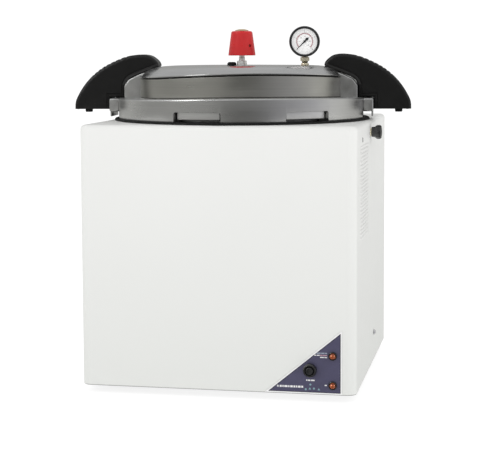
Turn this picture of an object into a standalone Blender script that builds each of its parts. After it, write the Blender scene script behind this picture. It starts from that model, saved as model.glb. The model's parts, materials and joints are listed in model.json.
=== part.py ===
"""Benchtop autoclave: a top-loading steam pressure vessel in a sheet-metal cabinet.

Metres, +Z up, front towards -Y. The origin is on the bench, under the middle of the cabinet.
The lid stands unlocked over the vessel, as it does just before it is turned shut.
"""

import math

import bmesh
import bpy
from mathutils import Matrix, Vector

OBJECT_NAME = "benchtop_autoclave"
GAP = 0.0003  # between pieces that touch

# Cabinet
CABINET_W = 0.360
CABINET_D = 0.360
FOOT_H = 0.010
CABINET_TOP = 0.350
SHEET = 0.0012
CORNER_R = 0.012
TOP_BEND_R = 0.006
FLANGE = 0.016
FRONT_Y = -CABINET_D / 2
BACK_Y = CABINET_D / 2
SIDE_X = CABINET_W / 2
REACH_Y = 0.190  # how far the furthest fitting stands out, at the front and at the back

# Base pan and feet
PAN_T = 0.0015
PAN_BOTTOM = FOOT_H + SHEET + GAP
PAN_WALL_H = 0.052
FOOT_R = 0.015
FOOT_INSET = 0.058

# Screws
SIDE_SCREW_Y = 0.029
SIDE_SCREW_Z = 0.051
BACK_SCREWS = [
    (f"back_screw_{level}_{side}", sign * 0.173, z)
    for level, z in (("low", 0.022), ("high", 0.338))
    for side, sign in (("left", -1), ("right", 1))
]

# Louvres in the right side
LOUVRES = 25
LOUVRE_PITCH = 0.0049
LOUVRE_H = 0.0022
LOUVRE_L = 0.096
LOUVRE_Y = -0.092
LOUVRE_Z = 0.2035

# Vessel
VESSEL_R = 0.130
VESSEL_WALL = 0.003
VESSEL_FLOOR = 0.062
VESSEL_BEND_R = 0.015
RIM_R = 0.150
RIM_TOP = CABINET_TOP + 0.020
RIM_BOTTOM = CABINET_TOP + 0.0018
LUG_R = 0.1635
LUG_H = 0.0127
LUG_ANGLE = math.radians(20)
JACKET_IN = 0.135
JACKET_OUT = 0.149
JACKET_Z = (0.075, 0.335)
ROUND = 40  # sides of the large round pieces

# Heater and pipes
HEATER_TUBE_R = 0.00425
HEATER_R = 0.095
HEATER_Z = 0.075
HEATER_LEG_X = 0.014
HEATER_LEGS = [
    (f"heater_leg_{side}", sign * HEATER_LEG_X, -HEATER_R) for side, sign in (("left", -1), ("right", 1))
]
PIPE_R = 0.004
SWITCH_PORT = (0.0880, -0.0880, 0.300)

# Trim ring
TRIM_R = 0.176
TRIM_H = 0.005

# Lid. Heights are above the cabinet's top.
LID_YAW = math.radians(5.4)
LID_SKIRT_R = 0.170
LID_SKIRT_IN = 0.165
LID_LUG_IN = 0.1525
LID_BOTTOM = 0.0022
LID_LUG_H = 0.0046
LID_SHOULDER = 0.0300
LID_UNDER = 0.0263
LID_BAND_R = 0.140
LID_EDGE_R = 0.1415
LID_EDGE_Z = 0.0570
LID_CROWN_Z = 0.0735
LID_BORE_R = 0.128
LID_WALL = 0.006
DOME_POWER = 6
EDGE_RISE = 0.0065  # the dome's edge is this much higher in front and behind than at the handles
SHOULDER_RISE = 0.0030  # and the skirt's top is this much higher
NOTCH_ANGLE = math.radians(22)
NOTCH_TOP = 0.012
NOTCHES = [math.radians(a) for a in (-14.5, 36, 90, 165.5, 216, 270)]  # from the front, turning right

# Handle bosses on the lid and the handles
BOSS_HALF_W = 0.030
BOSS_LOW_X = 0.184
BOSS_LOW_Z = (0.0115, 0.0295)
BOSS_HIGH_X = 0.1565
HANDLE_T = 0.034
HANDLE_BOTTOM = 0.0145
HANDLE_SCREW_X = 0.1745
PEG_X = 0.2135

# Regulator, at the lid's centre, and the safety plug beside it
PLUG_X = -0.0150
STEM_R = 0.00425
REGULATOR_BOTTOM = 0.0875
REGULATOR_TOP = 0.121
REGULATOR_LOW_R = 0.018
REGULATOR_HIGH_R = 0.0145

# Gauge
GAUGE_X = 0.087
GAUGE_Z = 0.1062
GAUGE_R = 0.021
GAUGE_CASE_R = 0.0200
DIAL_R = 0.0184
NEEDLE_ZERO = math.radians(225)  # anticlockwise from the dial's right, seen from the front

# Control panel
PANEL_CORNER = (0.1606, 0.013)
PANEL_TOP = 0.0895
PANEL_LEFT = 0.0681
PANEL_T = 0.0008
LAMPS = {"power_lamp": (0.1507, 0.0230), "heating_lamp": (0.1507, 0.0606)}
BREAKER = (0.1219, 0.0418)
BREAKER_R = 0.00885

# Exhaust valve, on the right side
VALVE_Y = -0.018
VALVE_Z = 0.334

# Basket
BASKET_R = 0.118
BASKET_FLOOR = 0.0858
BASKET_RIM = 0.266
BAIL_R = 0.002
BAIL_Z = BASKET_RIM + BAIL_R + GAP
BAIL_REACH = 0.092
STAND_TOP = 0.0855
STAND_HOLES = 8

# Rear fittings
INLET_X = -0.115
INLET_Z = 0.050
OUTLET_X = 0.140
OUTLET_Z = 0.060


# ---------------------------------------------------------------- scene and materials


def clear_scene():
    for item in list(bpy.data.objects):
        bpy.data.objects.remove(item)


def new_collection(name):
    made = bpy.data.collections.new(name)
    bpy.context.scene.collection.children.link(made)
    return made


clear_scene()
PARTS = new_collection(OBJECT_NAME)
CUTTERS = new_collection("cutters")


def make_material(name, colour, roughness, metallic=0.0):
    made = bpy.data.materials.new(name)
    made.use_nodes = True
    shader = made.node_tree.nodes["Principled BSDF"]
    shader.inputs["Base Color"].default_value = (*colour, 1)
    shader.inputs["Roughness"].default_value = roughness
    shader.inputs["Metallic"].default_value = metallic
    return made


WHITE = make_material("white_powder_coat", (0.84, 0.85, 0.84), 0.45)
ALUMINIUM = make_material("polished_aluminium", (0.62, 0.62, 0.61), 0.25, 1.0)
STEEL = make_material("stainless_steel", (0.58, 0.58, 0.58), 0.32, 1.0)
ZINC = make_material("zinc_plated_steel", (0.55, 0.56, 0.57), 0.4, 1.0)
CHROME = make_material("chrome", (0.75, 0.75, 0.76), 0.1, 1.0)
BRASS = make_material("brass", (0.70, 0.55, 0.28), 0.3, 1.0)
COPPER = make_material("copper", (0.72, 0.42, 0.28), 0.35, 1.0)
PHENOLIC = make_material("black_phenolic", (0.012, 0.012, 0.012), 0.42)
BLACK_PLASTIC = make_material("black_plastic", (0.01, 0.01, 0.012), 0.3)
BLACK_RUBBER = make_material("black_rubber", (0.015, 0.015, 0.015), 0.75)
SILICONE = make_material("white_silicone", (0.75, 0.73, 0.68), 0.6)
RED_PLASTIC = make_material("red_plastic", (0.55, 0.03, 0.035), 0.35)
CREAM_PLASTIC = make_material("cream_plastic", (0.62, 0.53, 0.36), 0.45)
AMBER = make_material("amber_lens", (0.60, 0.16, 0.04), 0.15)
GLASS = make_material("clear_lens", (0.9, 0.92, 0.92), 0.05)
DIAL_WHITE = make_material("dial_white", (0.85, 0.85, 0.84), 0.5)
PANEL_BLUE = make_material("panel_slate_blue", (0.065, 0.06, 0.12), 0.4)
MINERAL_WOOL = make_material("mineral_wool", (0.62, 0.58, 0.45), 0.95)


# ---------------------------------------------------------------- modelling helpers


def add_object(name, mesh, material=None, parent=None, matrix=None):
    """A part if it has a material, and a hidden cutter if not."""
    made = bpy.data.objects.new(name, mesh)
    if material is None:
        CUTTERS.objects.link(made)
        made.hide_render = True
        made.display_type = "WIRE"
    else:
        PARTS.objects.link(made)
        mesh.materials.append(material)
    if matrix is not None:
        made.matrix_basis = matrix
    made.parent = parent
    return made


def add_empty(name, location, yaw=0.0, parent=None):
    made = bpy.data.objects.new(name, None)
    PARTS.objects.link(made)
    made.empty_display_size = 0.02
    made.location = location
    made.rotation_euler = (0, 0, yaw)
    made.parent = parent
    return made


def at(x, y, z):
    return Matrix.Translation((x, y, z))


def facing(location, direction):
    """Places a piece turned about its own Z so that its Z points along direction."""
    turn = Vector(direction).to_track_quat("Z", "Y").to_matrix().to_4x4()
    return Matrix.Translation(location) @ turn


def finish_mesh(name, bm):
    mesh = bpy.data.meshes.new(name)
    bm.to_mesh(mesh)
    bm.free()
    return mesh


def box(name, low, high, material=None, parent=None):
    """An upright box between two corners."""
    bm = bmesh.new()
    bmesh.ops.create_cube(bm, size=1)
    low, high = Vector(low), Vector(high)
    bmesh.ops.scale(bm, vec=high - low, verts=bm.verts)
    return add_object(name, finish_mesh(name, bm), material, parent, at(*((low + high) / 2)))


def rod(name, radius, length, matrix, material=None, parent=None, sides=24):
    """A cylinder from its placed origin along its Z. Six sides make a hexagon, measured to its corners."""
    bm = bmesh.new()
    bmesh.ops.create_cone(
        bm, cap_ends=True, segments=sides, radius1=radius, radius2=radius, depth=length
    )
    bmesh.ops.translate(bm, vec=(0, 0, length / 2), verts=bm.verts)
    made = add_object(name, finish_mesh(name, bm), material, parent, matrix)
    if sides > 8:
        made.data.shade_smooth()
        made.data.set_sharp_from_angle(angle=math.radians(40))
    return made


def turned(name, profile, matrix, material=None, parent=None, sides=ROUND, ring=False):
    """Turns (radius, height) points about Z. The points run down the outer side, top to bottom."""
    mesh = bpy.data.meshes.new(name)
    edges = [(i, i + 1) for i in range(len(profile) - 1)]
    if ring:
        edges.append((len(profile) - 1, 0))
    mesh.from_pydata([(r, 0, z) for r, z in profile], edges, [])
    made = add_object(name, mesh, material, parent, matrix)
    screw = made.modifiers.new("turn", "SCREW")
    screw.steps = sides
    screw.render_steps = sides
    screw.use_merge_vertices = True
    screw.merge_threshold = 0.00002
    screw.use_smooth_shade = True
    return made


def settle(made):
    """Applies the modifiers so far, so that the mesh can be shaped further."""
    bpy.context.view_layer.update()
    graph = bpy.context.evaluated_depsgraph_get()
    mesh = bpy.data.meshes.new_from_object(made.evaluated_get(graph))
    made.modifiers.clear()
    made.data = mesh
    return made


def outline(name, corners, thickness, matrix, material=None, parent=None, resolution=3):
    """A flat outline, centred on its plane. Each corner is (x, y, smooth)."""
    curve = bpy.data.curves.new(name, "CURVE")
    curve.dimensions = "2D"
    curve.fill_mode = "BOTH"
    curve.extrude = thickness / 2
    curve.resolution_u = resolution
    spline = curve.splines.new("BEZIER")
    spline.bezier_points.add(len(corners) - 1)
    spline.use_cyclic_u = True
    for point, (x, y, smooth) in zip(spline.bezier_points, corners):
        point.co = (x, y, 0)
        point.handle_left_type = "AUTO" if smooth else "VECTOR"
        point.handle_right_type = "AUTO" if smooth else "VECTOR"
    return add_object(name, mesh_of_curve(name, curve), material, parent, matrix)


def tube(name, points, radius, matrix, material=None, parent=None, resolution=2):
    """A round wire or pipe through points."""
    curve = bpy.data.curves.new(name, "CURVE")
    curve.dimensions = "3D"
    curve.bevel_depth = radius
    curve.bevel_resolution = resolution
    curve.use_fill_caps = True
    spline = curve.splines.new("POLY")
    spline.points.add(len(points) - 1)
    for point, place in zip(spline.points, points):
        point.co = (*place, 1)
    made = add_object(name, mesh_of_curve(name, curve), material, parent, matrix)
    made.data.shade_smooth()
    made.data.set_sharp_from_angle(angle=math.radians(50))
    return made


def mesh_of_curve(name, curve):
    """The closed mesh of a curve, with its caps welded."""
    holder = bpy.data.objects.new(name + "_curve", curve)
    CUTTERS.objects.link(holder)
    bpy.context.view_layer.update()
    graph = bpy.context.evaluated_depsgraph_get()
    mesh = bpy.data.meshes.new_from_object(holder.evaluated_get(graph))
    bpy.data.objects.remove(holder)
    mesh.materials.clear()
    bm = bmesh.new()
    bm.from_mesh(mesh)
    bmesh.ops.remove_doubles(bm, verts=bm.verts, dist=0.00001)
    bmesh.ops.recalc_face_normals(bm, faces=bm.faces)
    bm.to_mesh(mesh)
    bm.free()
    return mesh


def boolean(made, tool, operation):
    modifier = made.modifiers.new(f"{operation.lower()}_{tool.name}"[:60], "BOOLEAN")
    modifier.operation = operation
    modifier.object = tool


def cut(made, *tools):
    for tool in tools:
        boolean(made, tool, "DIFFERENCE")


def unite(made, *tools):
    for tool in tools:
        boolean(made, tool, "UNION")


def round_edges(made, width, segments=2, angle=40):
    bevel = made.modifiers.new("rounded_edges", "BEVEL")
    bevel.width = width
    bevel.segments = segments
    bevel.limit_method = "ANGLE"
    bevel.angle_limit = math.radians(angle)


def solidify(made, thickness, offset=-1):
    shell = made.modifiers.new("sheet", "SOLIDIFY")
    shell.thickness = thickness
    shell.offset = offset
    shell.use_even_offset = True


def arc(centre, radius, start, end, steps):
    """Points of an arc, in degrees, as (radius from the axis, height) pairs."""
    turns = [math.radians(start + (end - start) * i / steps) for i in range(steps + 1)]
    return [(centre[0] + radius * math.cos(a), centre[1] + radius * math.sin(a)) for a in turns]


def around(radius, azimuth, z=0.0):
    """A place at an azimuth measured from the front, turning towards the right."""
    return (radius * math.sin(azimuth), -radius * math.cos(azimuth), z)


def wedge(name, azimuth, width, radii, heights, material=None, parent=None, steps=4):
    """A curved block: part of a flat ring, centred on an azimuth."""
    inner, outer = radii
    low, high = heights
    turns = [azimuth - width / 2 + width * i / steps for i in range(steps + 1)]
    rim = [around(outer, a) for a in turns] + [around(inner, a) for a in reversed(turns)]
    corners = [(x, y, False) for x, y, _ in rim]
    middle = at(0, 0, (low + high) / 2)
    return outline(name, corners, high - low, middle, material, parent, resolution=1)


# ---------------------------------------------------------------- cabinet


def make_cabinet_shell():
    """One folded sheet: front, sides and top, with return flanges round the back and the bottom."""
    bm = bmesh.new()
    bmesh.ops.create_cube(bm, size=1)
    height = CABINET_TOP - FOOT_H
    bmesh.ops.scale(bm, vec=(CABINET_W, CABINET_D, height), verts=bm.verts)
    for direction in (Vector((0, 1, 0)), Vector((0, 0, -1))):
        face = next(f for f in bm.faces if f.normal.dot(direction) > 0.99 and f.calc_area() > 0.1)
        bmesh.ops.inset_region(bm, faces=[face], thickness=FLANGE)
        bmesh.ops.delete(bm, geom=[face], context="FACES")

    def edges_where(test):
        return [e for e in bm.edges if test((e.verts[0].co + e.verts[1].co) / 2, e)]

    upright = edges_where(
        lambda m, e: abs(abs(m.x) - SIDE_X) < 1e-5 and abs(m.y - FRONT_Y) < 1e-5 and abs(m.z) < 1e-5
    )
    bmesh.ops.bevel(bm, geom=upright, offset=CORNER_R, segments=4, profile=0.5, affect="EDGES")
    top = edges_where(
        lambda m, e: abs(m.z - height / 2) < 1e-5 and len(e.link_faces) == 2
        and any(abs(f.normal.z) < 0.5 for f in e.link_faces) and m.y < BACK_Y - 1e-4
    )
    bmesh.ops.bevel(bm, geom=top, offset=TOP_BEND_R, segments=3, profile=0.5, affect="EDGES")
    middle = at(0, 0, (CABINET_TOP + FOOT_H) / 2)
    shell = add_object("cabinet_shell", finish_mesh("cabinet_shell", bm), WHITE, None, middle)
    shell.data.shade_smooth()
    shell.data.set_sharp_from_angle(angle=math.radians(40))
    solidify(shell, SHEET)
    settle(shell)
    mouth = rod("mouth_cut", RIM_R + 0.002, 0.01, at(0, 0, CABINET_TOP - 0.005), sides=ROUND)
    cut(shell, mouth, *louvre_cutters())
    front_holes = [("breaker_cut", *BREAKER, 0.0068)]
    front_holes += [(name + "_cut", x, z, 0.0043) for name, (x, z) in LAMPS.items()]
    for name, x, z, radius in front_holes:
        cut(shell, rod(name, radius, 0.01, facing((x, FRONT_Y + 0.005, z), (0, -1, 0)), sides=16))
    valve_place = facing((SIDE_X - 0.005, VALVE_Y, VALVE_Z), (1, 0, 0))
    cut(shell, rod("valve_cut", 0.0058, 0.01, valve_place, sides=16))
    for name, side in (("left", -1), ("right", 1)):
        place = facing((side * (SIDE_X - 0.005), SIDE_SCREW_Y, SIDE_SCREW_Z), (side, 0, 0))
        cut(shell, rod(f"side_hole_{name}", 0.0018, 0.01, place, sides=12))
    for name, x, z in BACK_SCREWS:
        cut(shell, rod(f"{name}_hole", 0.0018, 0.01, facing((x, BACK_Y - 0.005, z), (0, 1, 0)), sides=12))
    return shell


def louvre_cutters():
    """The row of slots, as separate cutters."""
    slots = []
    for i in range(LOUVRES):
        z = LOUVRE_Z + i * LOUVRE_PITCH
        low = (SIDE_X - 0.006, LOUVRE_Y - LOUVRE_L / 2, z - LOUVRE_H / 2)
        high = (SIDE_X + 0.006, LOUVRE_Y + LOUVRE_L / 2, z + LOUVRE_H / 2)
        slots.append(box(f"louvre_cut_{i}", low, high))
    return slots


def make_back_panel():
    low = (-SIDE_X + 0.002, BACK_Y + GAP, FOOT_H + 0.002)
    high = (SIDE_X - 0.002, BACK_Y + GAP + SHEET, CABINET_TOP - 0.002)
    panel = box("back_panel", low, high, WHITE)
    inlet_hole = box(
        "inlet_cut",
        (INLET_X - 0.0141, BACK_Y - 0.005, INLET_Z - 0.0101),
        (INLET_X + 0.0141, BACK_Y + 0.005, INLET_Z + 0.0101),
    )
    outlet_place = facing((OUTLET_X, BACK_Y - 0.004, OUTLET_Z), (0, 1, 0))
    outlet_hole = rod("outlet_cut", 0.0063, 0.01, outlet_place, sides=16)
    cut(panel, inlet_hole, outlet_hole)
    for i in range(8):
        z = 0.255 + i * 0.008
        slot = box(f"back_slot_cut_{i}", (-0.05, BACK_Y - 0.005, z), (0.05, BACK_Y + 0.005, z + 0.003))
        cut(panel, slot)
    for name, x, z in BACK_SCREWS:
        place = facing((x, BACK_Y - 0.004, z), (0, 1, 0))
        cut(panel, rod(f"{name}_panel_hole", 0.0018, 0.01, place, sides=12))


def make_base_pan():
    """A tray with two low walls, inside the shell's bottom flange."""
    half_x = SIDE_X - SHEET - GAP
    bm = bmesh.new()
    bmesh.ops.create_cube(bm, size=1)
    bmesh.ops.scale(bm, vec=(2 * half_x, CABINET_D - 2 * 0.0135, PAN_WALL_H), verts=bm.verts)
    gone = [f for f in bm.faces if f.normal.z > 0.5 or abs(f.normal.y) > 0.5]
    bmesh.ops.delete(bm, geom=gone, context="FACES")
    middle = at(0, 0, PAN_BOTTOM + PAN_WALL_H / 2)
    pan = add_object("base_pan", finish_mesh("base_pan", bm), ZINC, None, middle)
    solidify(pan, PAN_T)
    for side in (-1, 1):
        place = facing((side * (SIDE_X - 0.006), SIDE_SCREW_Y, SIDE_SCREW_Z), (side, 0, 0))
        cut(pan, rod("pan_screw_cut", 0.0018, 0.006, place, sides=12))
    for i in range(5):
        x = -0.06 + i * 0.03
        cut(pan, box(f"pan_slot_cut_{i}", (x - 0.003, -0.05, FOOT_H), (x + 0.003, 0.05, FOOT_H + 0.008)))


def make_feet():
    inset_x = SIDE_X - FOOT_INSET
    inset_y = BACK_Y - FOOT_INSET
    top = PAN_BOTTOM - GAP
    profile = [(0, top), (FOOT_R - 0.002, top), (FOOT_R, 0.004), (FOOT_R - 0.0015, 0), (0, 0)]
    for end, y in (("front", -inset_y), ("rear", inset_y)):
        for side, x in (("left", -inset_x), ("right", inset_x)):
            turned(f"foot_{end}_{side}", profile, at(x, y, 0), BLACK_RUBBER, sides=20)


def make_trim_ring():
    """The bead round the vessel's rim: a thin washer with a raised outer lip."""
    floor = CABINET_TOP + GAP
    inner_top = RIM_BOTTOM - GAP
    top = CABINET_TOP + TRIM_H
    profile = [
        (TRIM_R - 0.002, top),
        (TRIM_R, top - 0.0015),
        (TRIM_R, floor),
        (0.1350, floor),
        (0.1350, inner_top),
        (0.1705, inner_top),
        (0.1720, top - 0.001),
    ]
    turned("trim_ring", profile, at(0, 0, 0), BLACK_RUBBER, ring=True, sides=48)


def domed_screw(name, place, head_r, head_h, shank_r, shank_l, material, parent=None):
    """A screw whose head stands along its placed Z, with its shank behind."""
    profile = [(0, head_h), (head_r * 0.6, head_h * 0.82), (head_r, head_h * 0.25), (head_r, GAP)]
    profile += [(shank_r, GAP), (shank_r, -shank_l), (0, -shank_l)]
    return turned(name, profile, place, material, parent, sides=12)


def make_cabinet_screws():
    for name, side in (("side_screw_left", -1), ("side_screw_right", 1)):
        place = facing((side * SIDE_X, SIDE_SCREW_Y, SIDE_SCREW_Z), (side, 0, 0))
        domed_screw(name, place, 0.00375, 0.0035, 0.0015, 0.006, CHROME)
    for name, x, z in BACK_SCREWS:
        place = facing((x, BACK_Y + GAP + SHEET, z), (0, 1, 0))
        domed_screw(name, place, 0.0035, 0.0024, 0.0015, 0.006, ZINC)


# ---------------------------------------------------------------- vessel


def make_vessel():
    """A drawn cup with a thick rim, whose lugs hold the lid down."""
    outer = VESSEL_R + VESSEL_WALL
    bend = (VESSEL_R - VESSEL_BEND_R, VESSEL_FLOOR + VESSEL_BEND_R)
    profile = [(0, VESSEL_FLOOR), *arc(bend, VESSEL_BEND_R, -90, 0, 3)]
    profile += [(VESSEL_R, RIM_TOP), (RIM_R, RIM_TOP), (RIM_R, RIM_BOTTOM), (outer, RIM_BOTTOM)]
    profile += [*arc(bend, VESSEL_BEND_R + VESSEL_WALL, 0, -90, 3), (0, VESSEL_FLOOR - VESSEL_WALL)]
    vessel = turned("vessel", profile, at(0, 0, 0), STEEL)
    for i, notch in enumerate(NOTCHES):
        radii = (RIM_R - 0.004, LUG_R)
        heights = (RIM_TOP - LUG_H, RIM_TOP)
        unite(vessel, wedge(f"vessel_lug_{i}", notch + LID_YAW, LUG_ANGLE, radii, heights))
    for name, x, y in HEATER_LEGS:
        leg_place = at(x, y, VESSEL_FLOOR - 0.01)
        cut(vessel, rod(f"{name}_cut", HEATER_TUBE_R + GAP, 0.02, leg_place, sides=16))
    valve_place = facing((0.122, VALVE_Y, VALVE_Z), (1, 0, 0))
    switch_place = facing(SWITCH_PORT, (1, -1, 0))
    valve_port = rod("valve_port_cut", PIPE_R + GAP, 0.02, valve_place, sides=12)
    switch_port = rod("switch_port_cut", PIPE_R + GAP, 0.02, switch_place, sides=12)
    cut(vessel, valve_port, switch_port)


def make_jacket():
    """Mineral wool round the vessel's wall."""
    low, high = JACKET_Z
    profile = [(JACKET_OUT, high), (JACKET_OUT, low), (JACKET_IN, low), (JACKET_IN, high)]
    jacket = turned("insulation_jacket", profile, at(0, 0, 0), MINERAL_WOOL, ring=True)
    valve_place = facing((0.12, VALVE_Y, VALVE_Z), (1, 0, 0))
    switch_place = facing(SWITCH_PORT, (1, -1, 0))
    valve_way = rod("jacket_valve_cut", PIPE_R + 0.001, 0.04, valve_place, sides=12)
    switch_way = rod("jacket_switch_cut", PIPE_R + 0.001, 0.06, switch_place, sides=12)
    cut(jacket, valve_way, switch_way)


def make_heating_element():
    """An open ring of sheathed tube, whose two ends turn down through the vessel's floor."""
    gap = math.asin(HEATER_LEG_X / HEATER_R)
    low = VESSEL_FLOOR - 0.018
    turn_r = 0.006
    leg_y = HEATER_LEGS[0][2]
    ring = [around(HEATER_R, gap + (2 * math.pi - 2 * gap) * i / 30, HEATER_Z) for i in range(1, 30)]
    start = [(HEATER_LEG_X, leg_y, low), (HEATER_LEG_X, leg_y, HEATER_Z - turn_r)]
    start += [(HEATER_LEG_X + turn_r * 0.35, leg_y, HEATER_Z - turn_r * 0.35)]
    end = [(-x, y, z) for x, y, z in reversed(start)]
    tube("heating_element", [*start, *ring, *end], HEATER_TUBE_R, at(0, 0, 0), STEEL, resolution=1)
    for name, x, y in HEATER_LEGS:
        under = VESSEL_FLOOR - VESSEL_WALL - GAP
        nut = rod(name.replace("leg", "nut"), 0.0095, 0.006, at(x, y, under - 0.006), BRASS, sides=6)
        cut(nut, rod(f"{name}_nut_cut", HEATER_TUBE_R + GAP, 0.02, at(x, y, under - 0.012), sides=16))


def make_stand():
    """The pierced plate that keeps the basket above the water."""
    plate = turned(
        "basket_stand",
        [(0, STAND_TOP), (0.122, STAND_TOP), (0.122, STAND_TOP - 0.0015), (0, STAND_TOP - 0.0015)],
        at(0, 0, 0),
        STEEL,
        sides=32,
    )
    leg_low = VESSEL_FLOOR + GAP
    for i in range(3):
        x, y, _ = around(0.110, math.radians(60 + 120 * i))
        leg = rod(f"stand_leg_{i}", 0.003, STAND_TOP - 0.0008 - leg_low, at(x, y, leg_low), sides=8)
        unite(plate, leg)
    for i in range(STAND_HOLES):
        x, y, _ = around(0.060, 2 * math.pi * i / STAND_HOLES)
        cut(plate, rod(f"stand_hole_{i}", 0.010, 0.01, at(x, y, STAND_TOP - 0.005), sides=10))


# ---------------------------------------------------------------- basket


def make_basket(parent):
    """A straight cup with a rolled rim and two ears for the bail."""
    wall = 0.001
    rim_r = BASKET_R + 0.0025
    profile = [(0, BASKET_FLOOR + wall), (BASKET_R - 0.004 - wall, BASKET_FLOOR + wall)]
    profile += [(BASKET_R - wall, BASKET_FLOOR + 0.005), (BASKET_R - wall, BASKET_RIM)]
    profile += [(rim_r, BASKET_RIM), (rim_r, BASKET_RIM - 0.004), (BASKET_R, BASKET_RIM - 0.005)]
    profile += [(BASKET_R, BASKET_FLOOR + 0.004), (BASKET_R - 0.004, BASKET_FLOOR), (0, BASKET_FLOOR)]
    basket = turned("basket", profile, at(0, 0, 0), STEEL, parent, sides=36)
    for side in (-1, 1):
        inner = side * (BASKET_R + 0.0003)
        outer = side * (BASKET_R + 0.0023)
        low = (min(inner, outer), -0.007, BASKET_RIM - 0.0035)
        high = (max(inner, outer), 0.007, BAIL_Z + 0.006)
        unite(basket, box(f"basket_ear_{side}", low, high))
    eye = rod("basket_eye_cut", BAIL_R + GAP, 0.3, facing((-0.15, 0, BAIL_Z), (1, 0, 0)), sides=12)
    cut(basket, eye)


def make_bail(parent):
    """The lifting wire, lying back over the rim, its ends turned inward through the ears."""
    side = 0.1250
    half = [(0.1165, 0, 0), (side - 0.001, 0, 0), (side, 0.003, 0), (side - 0.001, 0.012, 0)]
    half += [(0.108, 0.050, 0), (0.098, 0.066, 0), (0.082, 0.078, 0)]
    half += [(0.050, 0.088, 0), (0.018, BAIL_REACH, 0)]
    points = half + [(-x, y, z) for x, y, z in reversed(half)]
    tube("basket_bail", points, BAIL_R, at(0, 0, 0), STEEL, parent, resolution=1)


# ---------------------------------------------------------------- lid


def dome(radius, edge_r, crown, edge):
    """Height of the nearly flat-topped dome at a radius."""
    return edge + (crown - edge) * (1 - (radius / edge_r) ** DOME_POWER)


def make_lid(parent):
    """One casting: dome, band, shoulder, skirt and the ring of inward lugs."""
    inner_crown = LID_CROWN_Z - LID_WALL
    radii = (0, 0.05, 0.085, 0.105, 0.12, 0.132)
    top = [(r, dome(r, LID_EDGE_R, LID_CROWN_Z, LID_EDGE_Z)) for r in radii]
    outside = [
        (LID_EDGE_R, LID_EDGE_Z),
        (LID_EDGE_R, LID_EDGE_Z - 0.0020),
        (LID_BAND_R, LID_EDGE_Z - 0.0030),
        (LID_BAND_R, LID_SHOULDER + 0.0015),
        (LID_BAND_R + 0.0015, LID_SHOULDER),
        (LID_SKIRT_R - 0.002, LID_SHOULDER),
        (LID_SKIRT_R, LID_SHOULDER - 0.002),
        (LID_SKIRT_R, LID_BOTTOM),
        (LID_LUG_IN, LID_BOTTOM),
        (LID_LUG_IN, LID_BOTTOM + LID_LUG_H),
        (LID_SKIRT_IN, LID_BOTTOM + LID_LUG_H),
        (LID_SKIRT_IN, LID_UNDER),
        (LID_BORE_R, LID_UNDER),
        (LID_BORE_R, LID_EDGE_Z - 0.009),
    ]
    under = [(r, dome(r, LID_BORE_R, inner_crown, LID_EDGE_Z - 0.007)) for r in (0.115, 0.095, 0.06, 0)]
    lid = turned("lid", top + outside + under, at(0, 0, 0), ALUMINIUM, parent)
    settle(lid)
    raise_edge(lid.data)
    for side in (-1, 1):
        unite(lid, *make_bosses(side, parent))
    for i, notch in enumerate(NOTCHES):
        radii = (LID_LUG_IN - 0.004, LID_SKIRT_R + 0.002)
        cut(lid, wedge(f"lid_notch_{i}", notch, NOTCH_ANGLE, radii, (-0.005, NOTCH_TOP), None, parent))
    for side in (-1, 1):
        screw_x = side * HANDLE_SCREW_X
        head = rod("boss_head_cut", 0.0052, 0.0065, at(screw_x, 0, BOSS_LOW_Z[0] - 0.002), None, parent, 16)
        shank = rod("boss_shank_cut", 0.0028, 0.04, at(screw_x, 0, 0.003), None, parent, 16)
        cut(lid, head, shank)
    cut(lid, rod("stem_cut", STEM_R + GAP, 0.05, at(0, 0, 0.05), None, parent, 24))
    cut(lid, rod("plug_cut", 0.0038, 0.05, at(PLUG_X, 0, 0.05), None, parent, 16))
    cut(lid, rod("gauge_cut", 0.0053, 0.05, at(GAUGE_X, 0, 0.05), None, parent, 16))


def raise_edge(mesh):
    """Lets the dome's edge, the band and the shoulder rise in front and behind."""
    band = LID_SHOULDER + 0.002
    for vertex in mesh.vertices:
        x, y, z = vertex.co
        radius = math.hypot(x, y)
        on_shoulder = z > LID_UNDER + 0.001 and radius > LID_BAND_R - 0.001
        if radius < 0.02 or not (z > band or on_shoulder):
            continue
        share = min(1, max(0, (z - band) / (LID_EDGE_Z - 0.003 - band)))
        rise = SHOULDER_RISE + (EDGE_RISE - SHOULDER_RISE) * share
        past_boss = max(0, (y / radius) ** 2 - 0.05) / 0.95
        vertex.co.z += rise * min(1, radius / LID_EDGE_R) ** DOME_POWER * past_boss


def make_bosses(side, parent):
    """The pads that carry a handle: a low one beside the skirt and a high one beside the band."""
    low_in = LID_SKIRT_IN + 0.002
    low = box(
        "low_boss",
        (min(side * low_in, side * BOSS_LOW_X), -BOSS_HALF_W, BOSS_LOW_Z[0]),
        (max(side * low_in, side * BOSS_LOW_X), BOSS_HALF_W, BOSS_LOW_Z[1]),
        None,
        parent,
    )
    round_edges(low, 0.003)
    high = outline(
        "high_boss",
        [
            (side * 0.131, LID_SHOULDER - 0.001, False),
            (side * BOSS_HIGH_X, LID_SHOULDER - 0.001, False),
            (side * BOSS_HIGH_X, 0.0475, False),
            (side * (BOSS_HIGH_X - 0.004), 0.0520, False),
            (side * 0.131, 0.0590, False),
        ],
        2 * BOSS_HALF_W,
        Matrix.Rotation(math.pi / 2, 4, "X"),
        None,
        parent,
    )
    round_edges(high, 0.002)
    lip = box(
        "boss_lip",
        (min(side * 0.1801, side * 0.1828), -0.024, 0.0045),
        (max(side * 0.1801, side * 0.1828), 0.024, BOSS_LOW_Z[0] + 0.003),
        None,
        parent,
    )
    return low, high, lip


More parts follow.
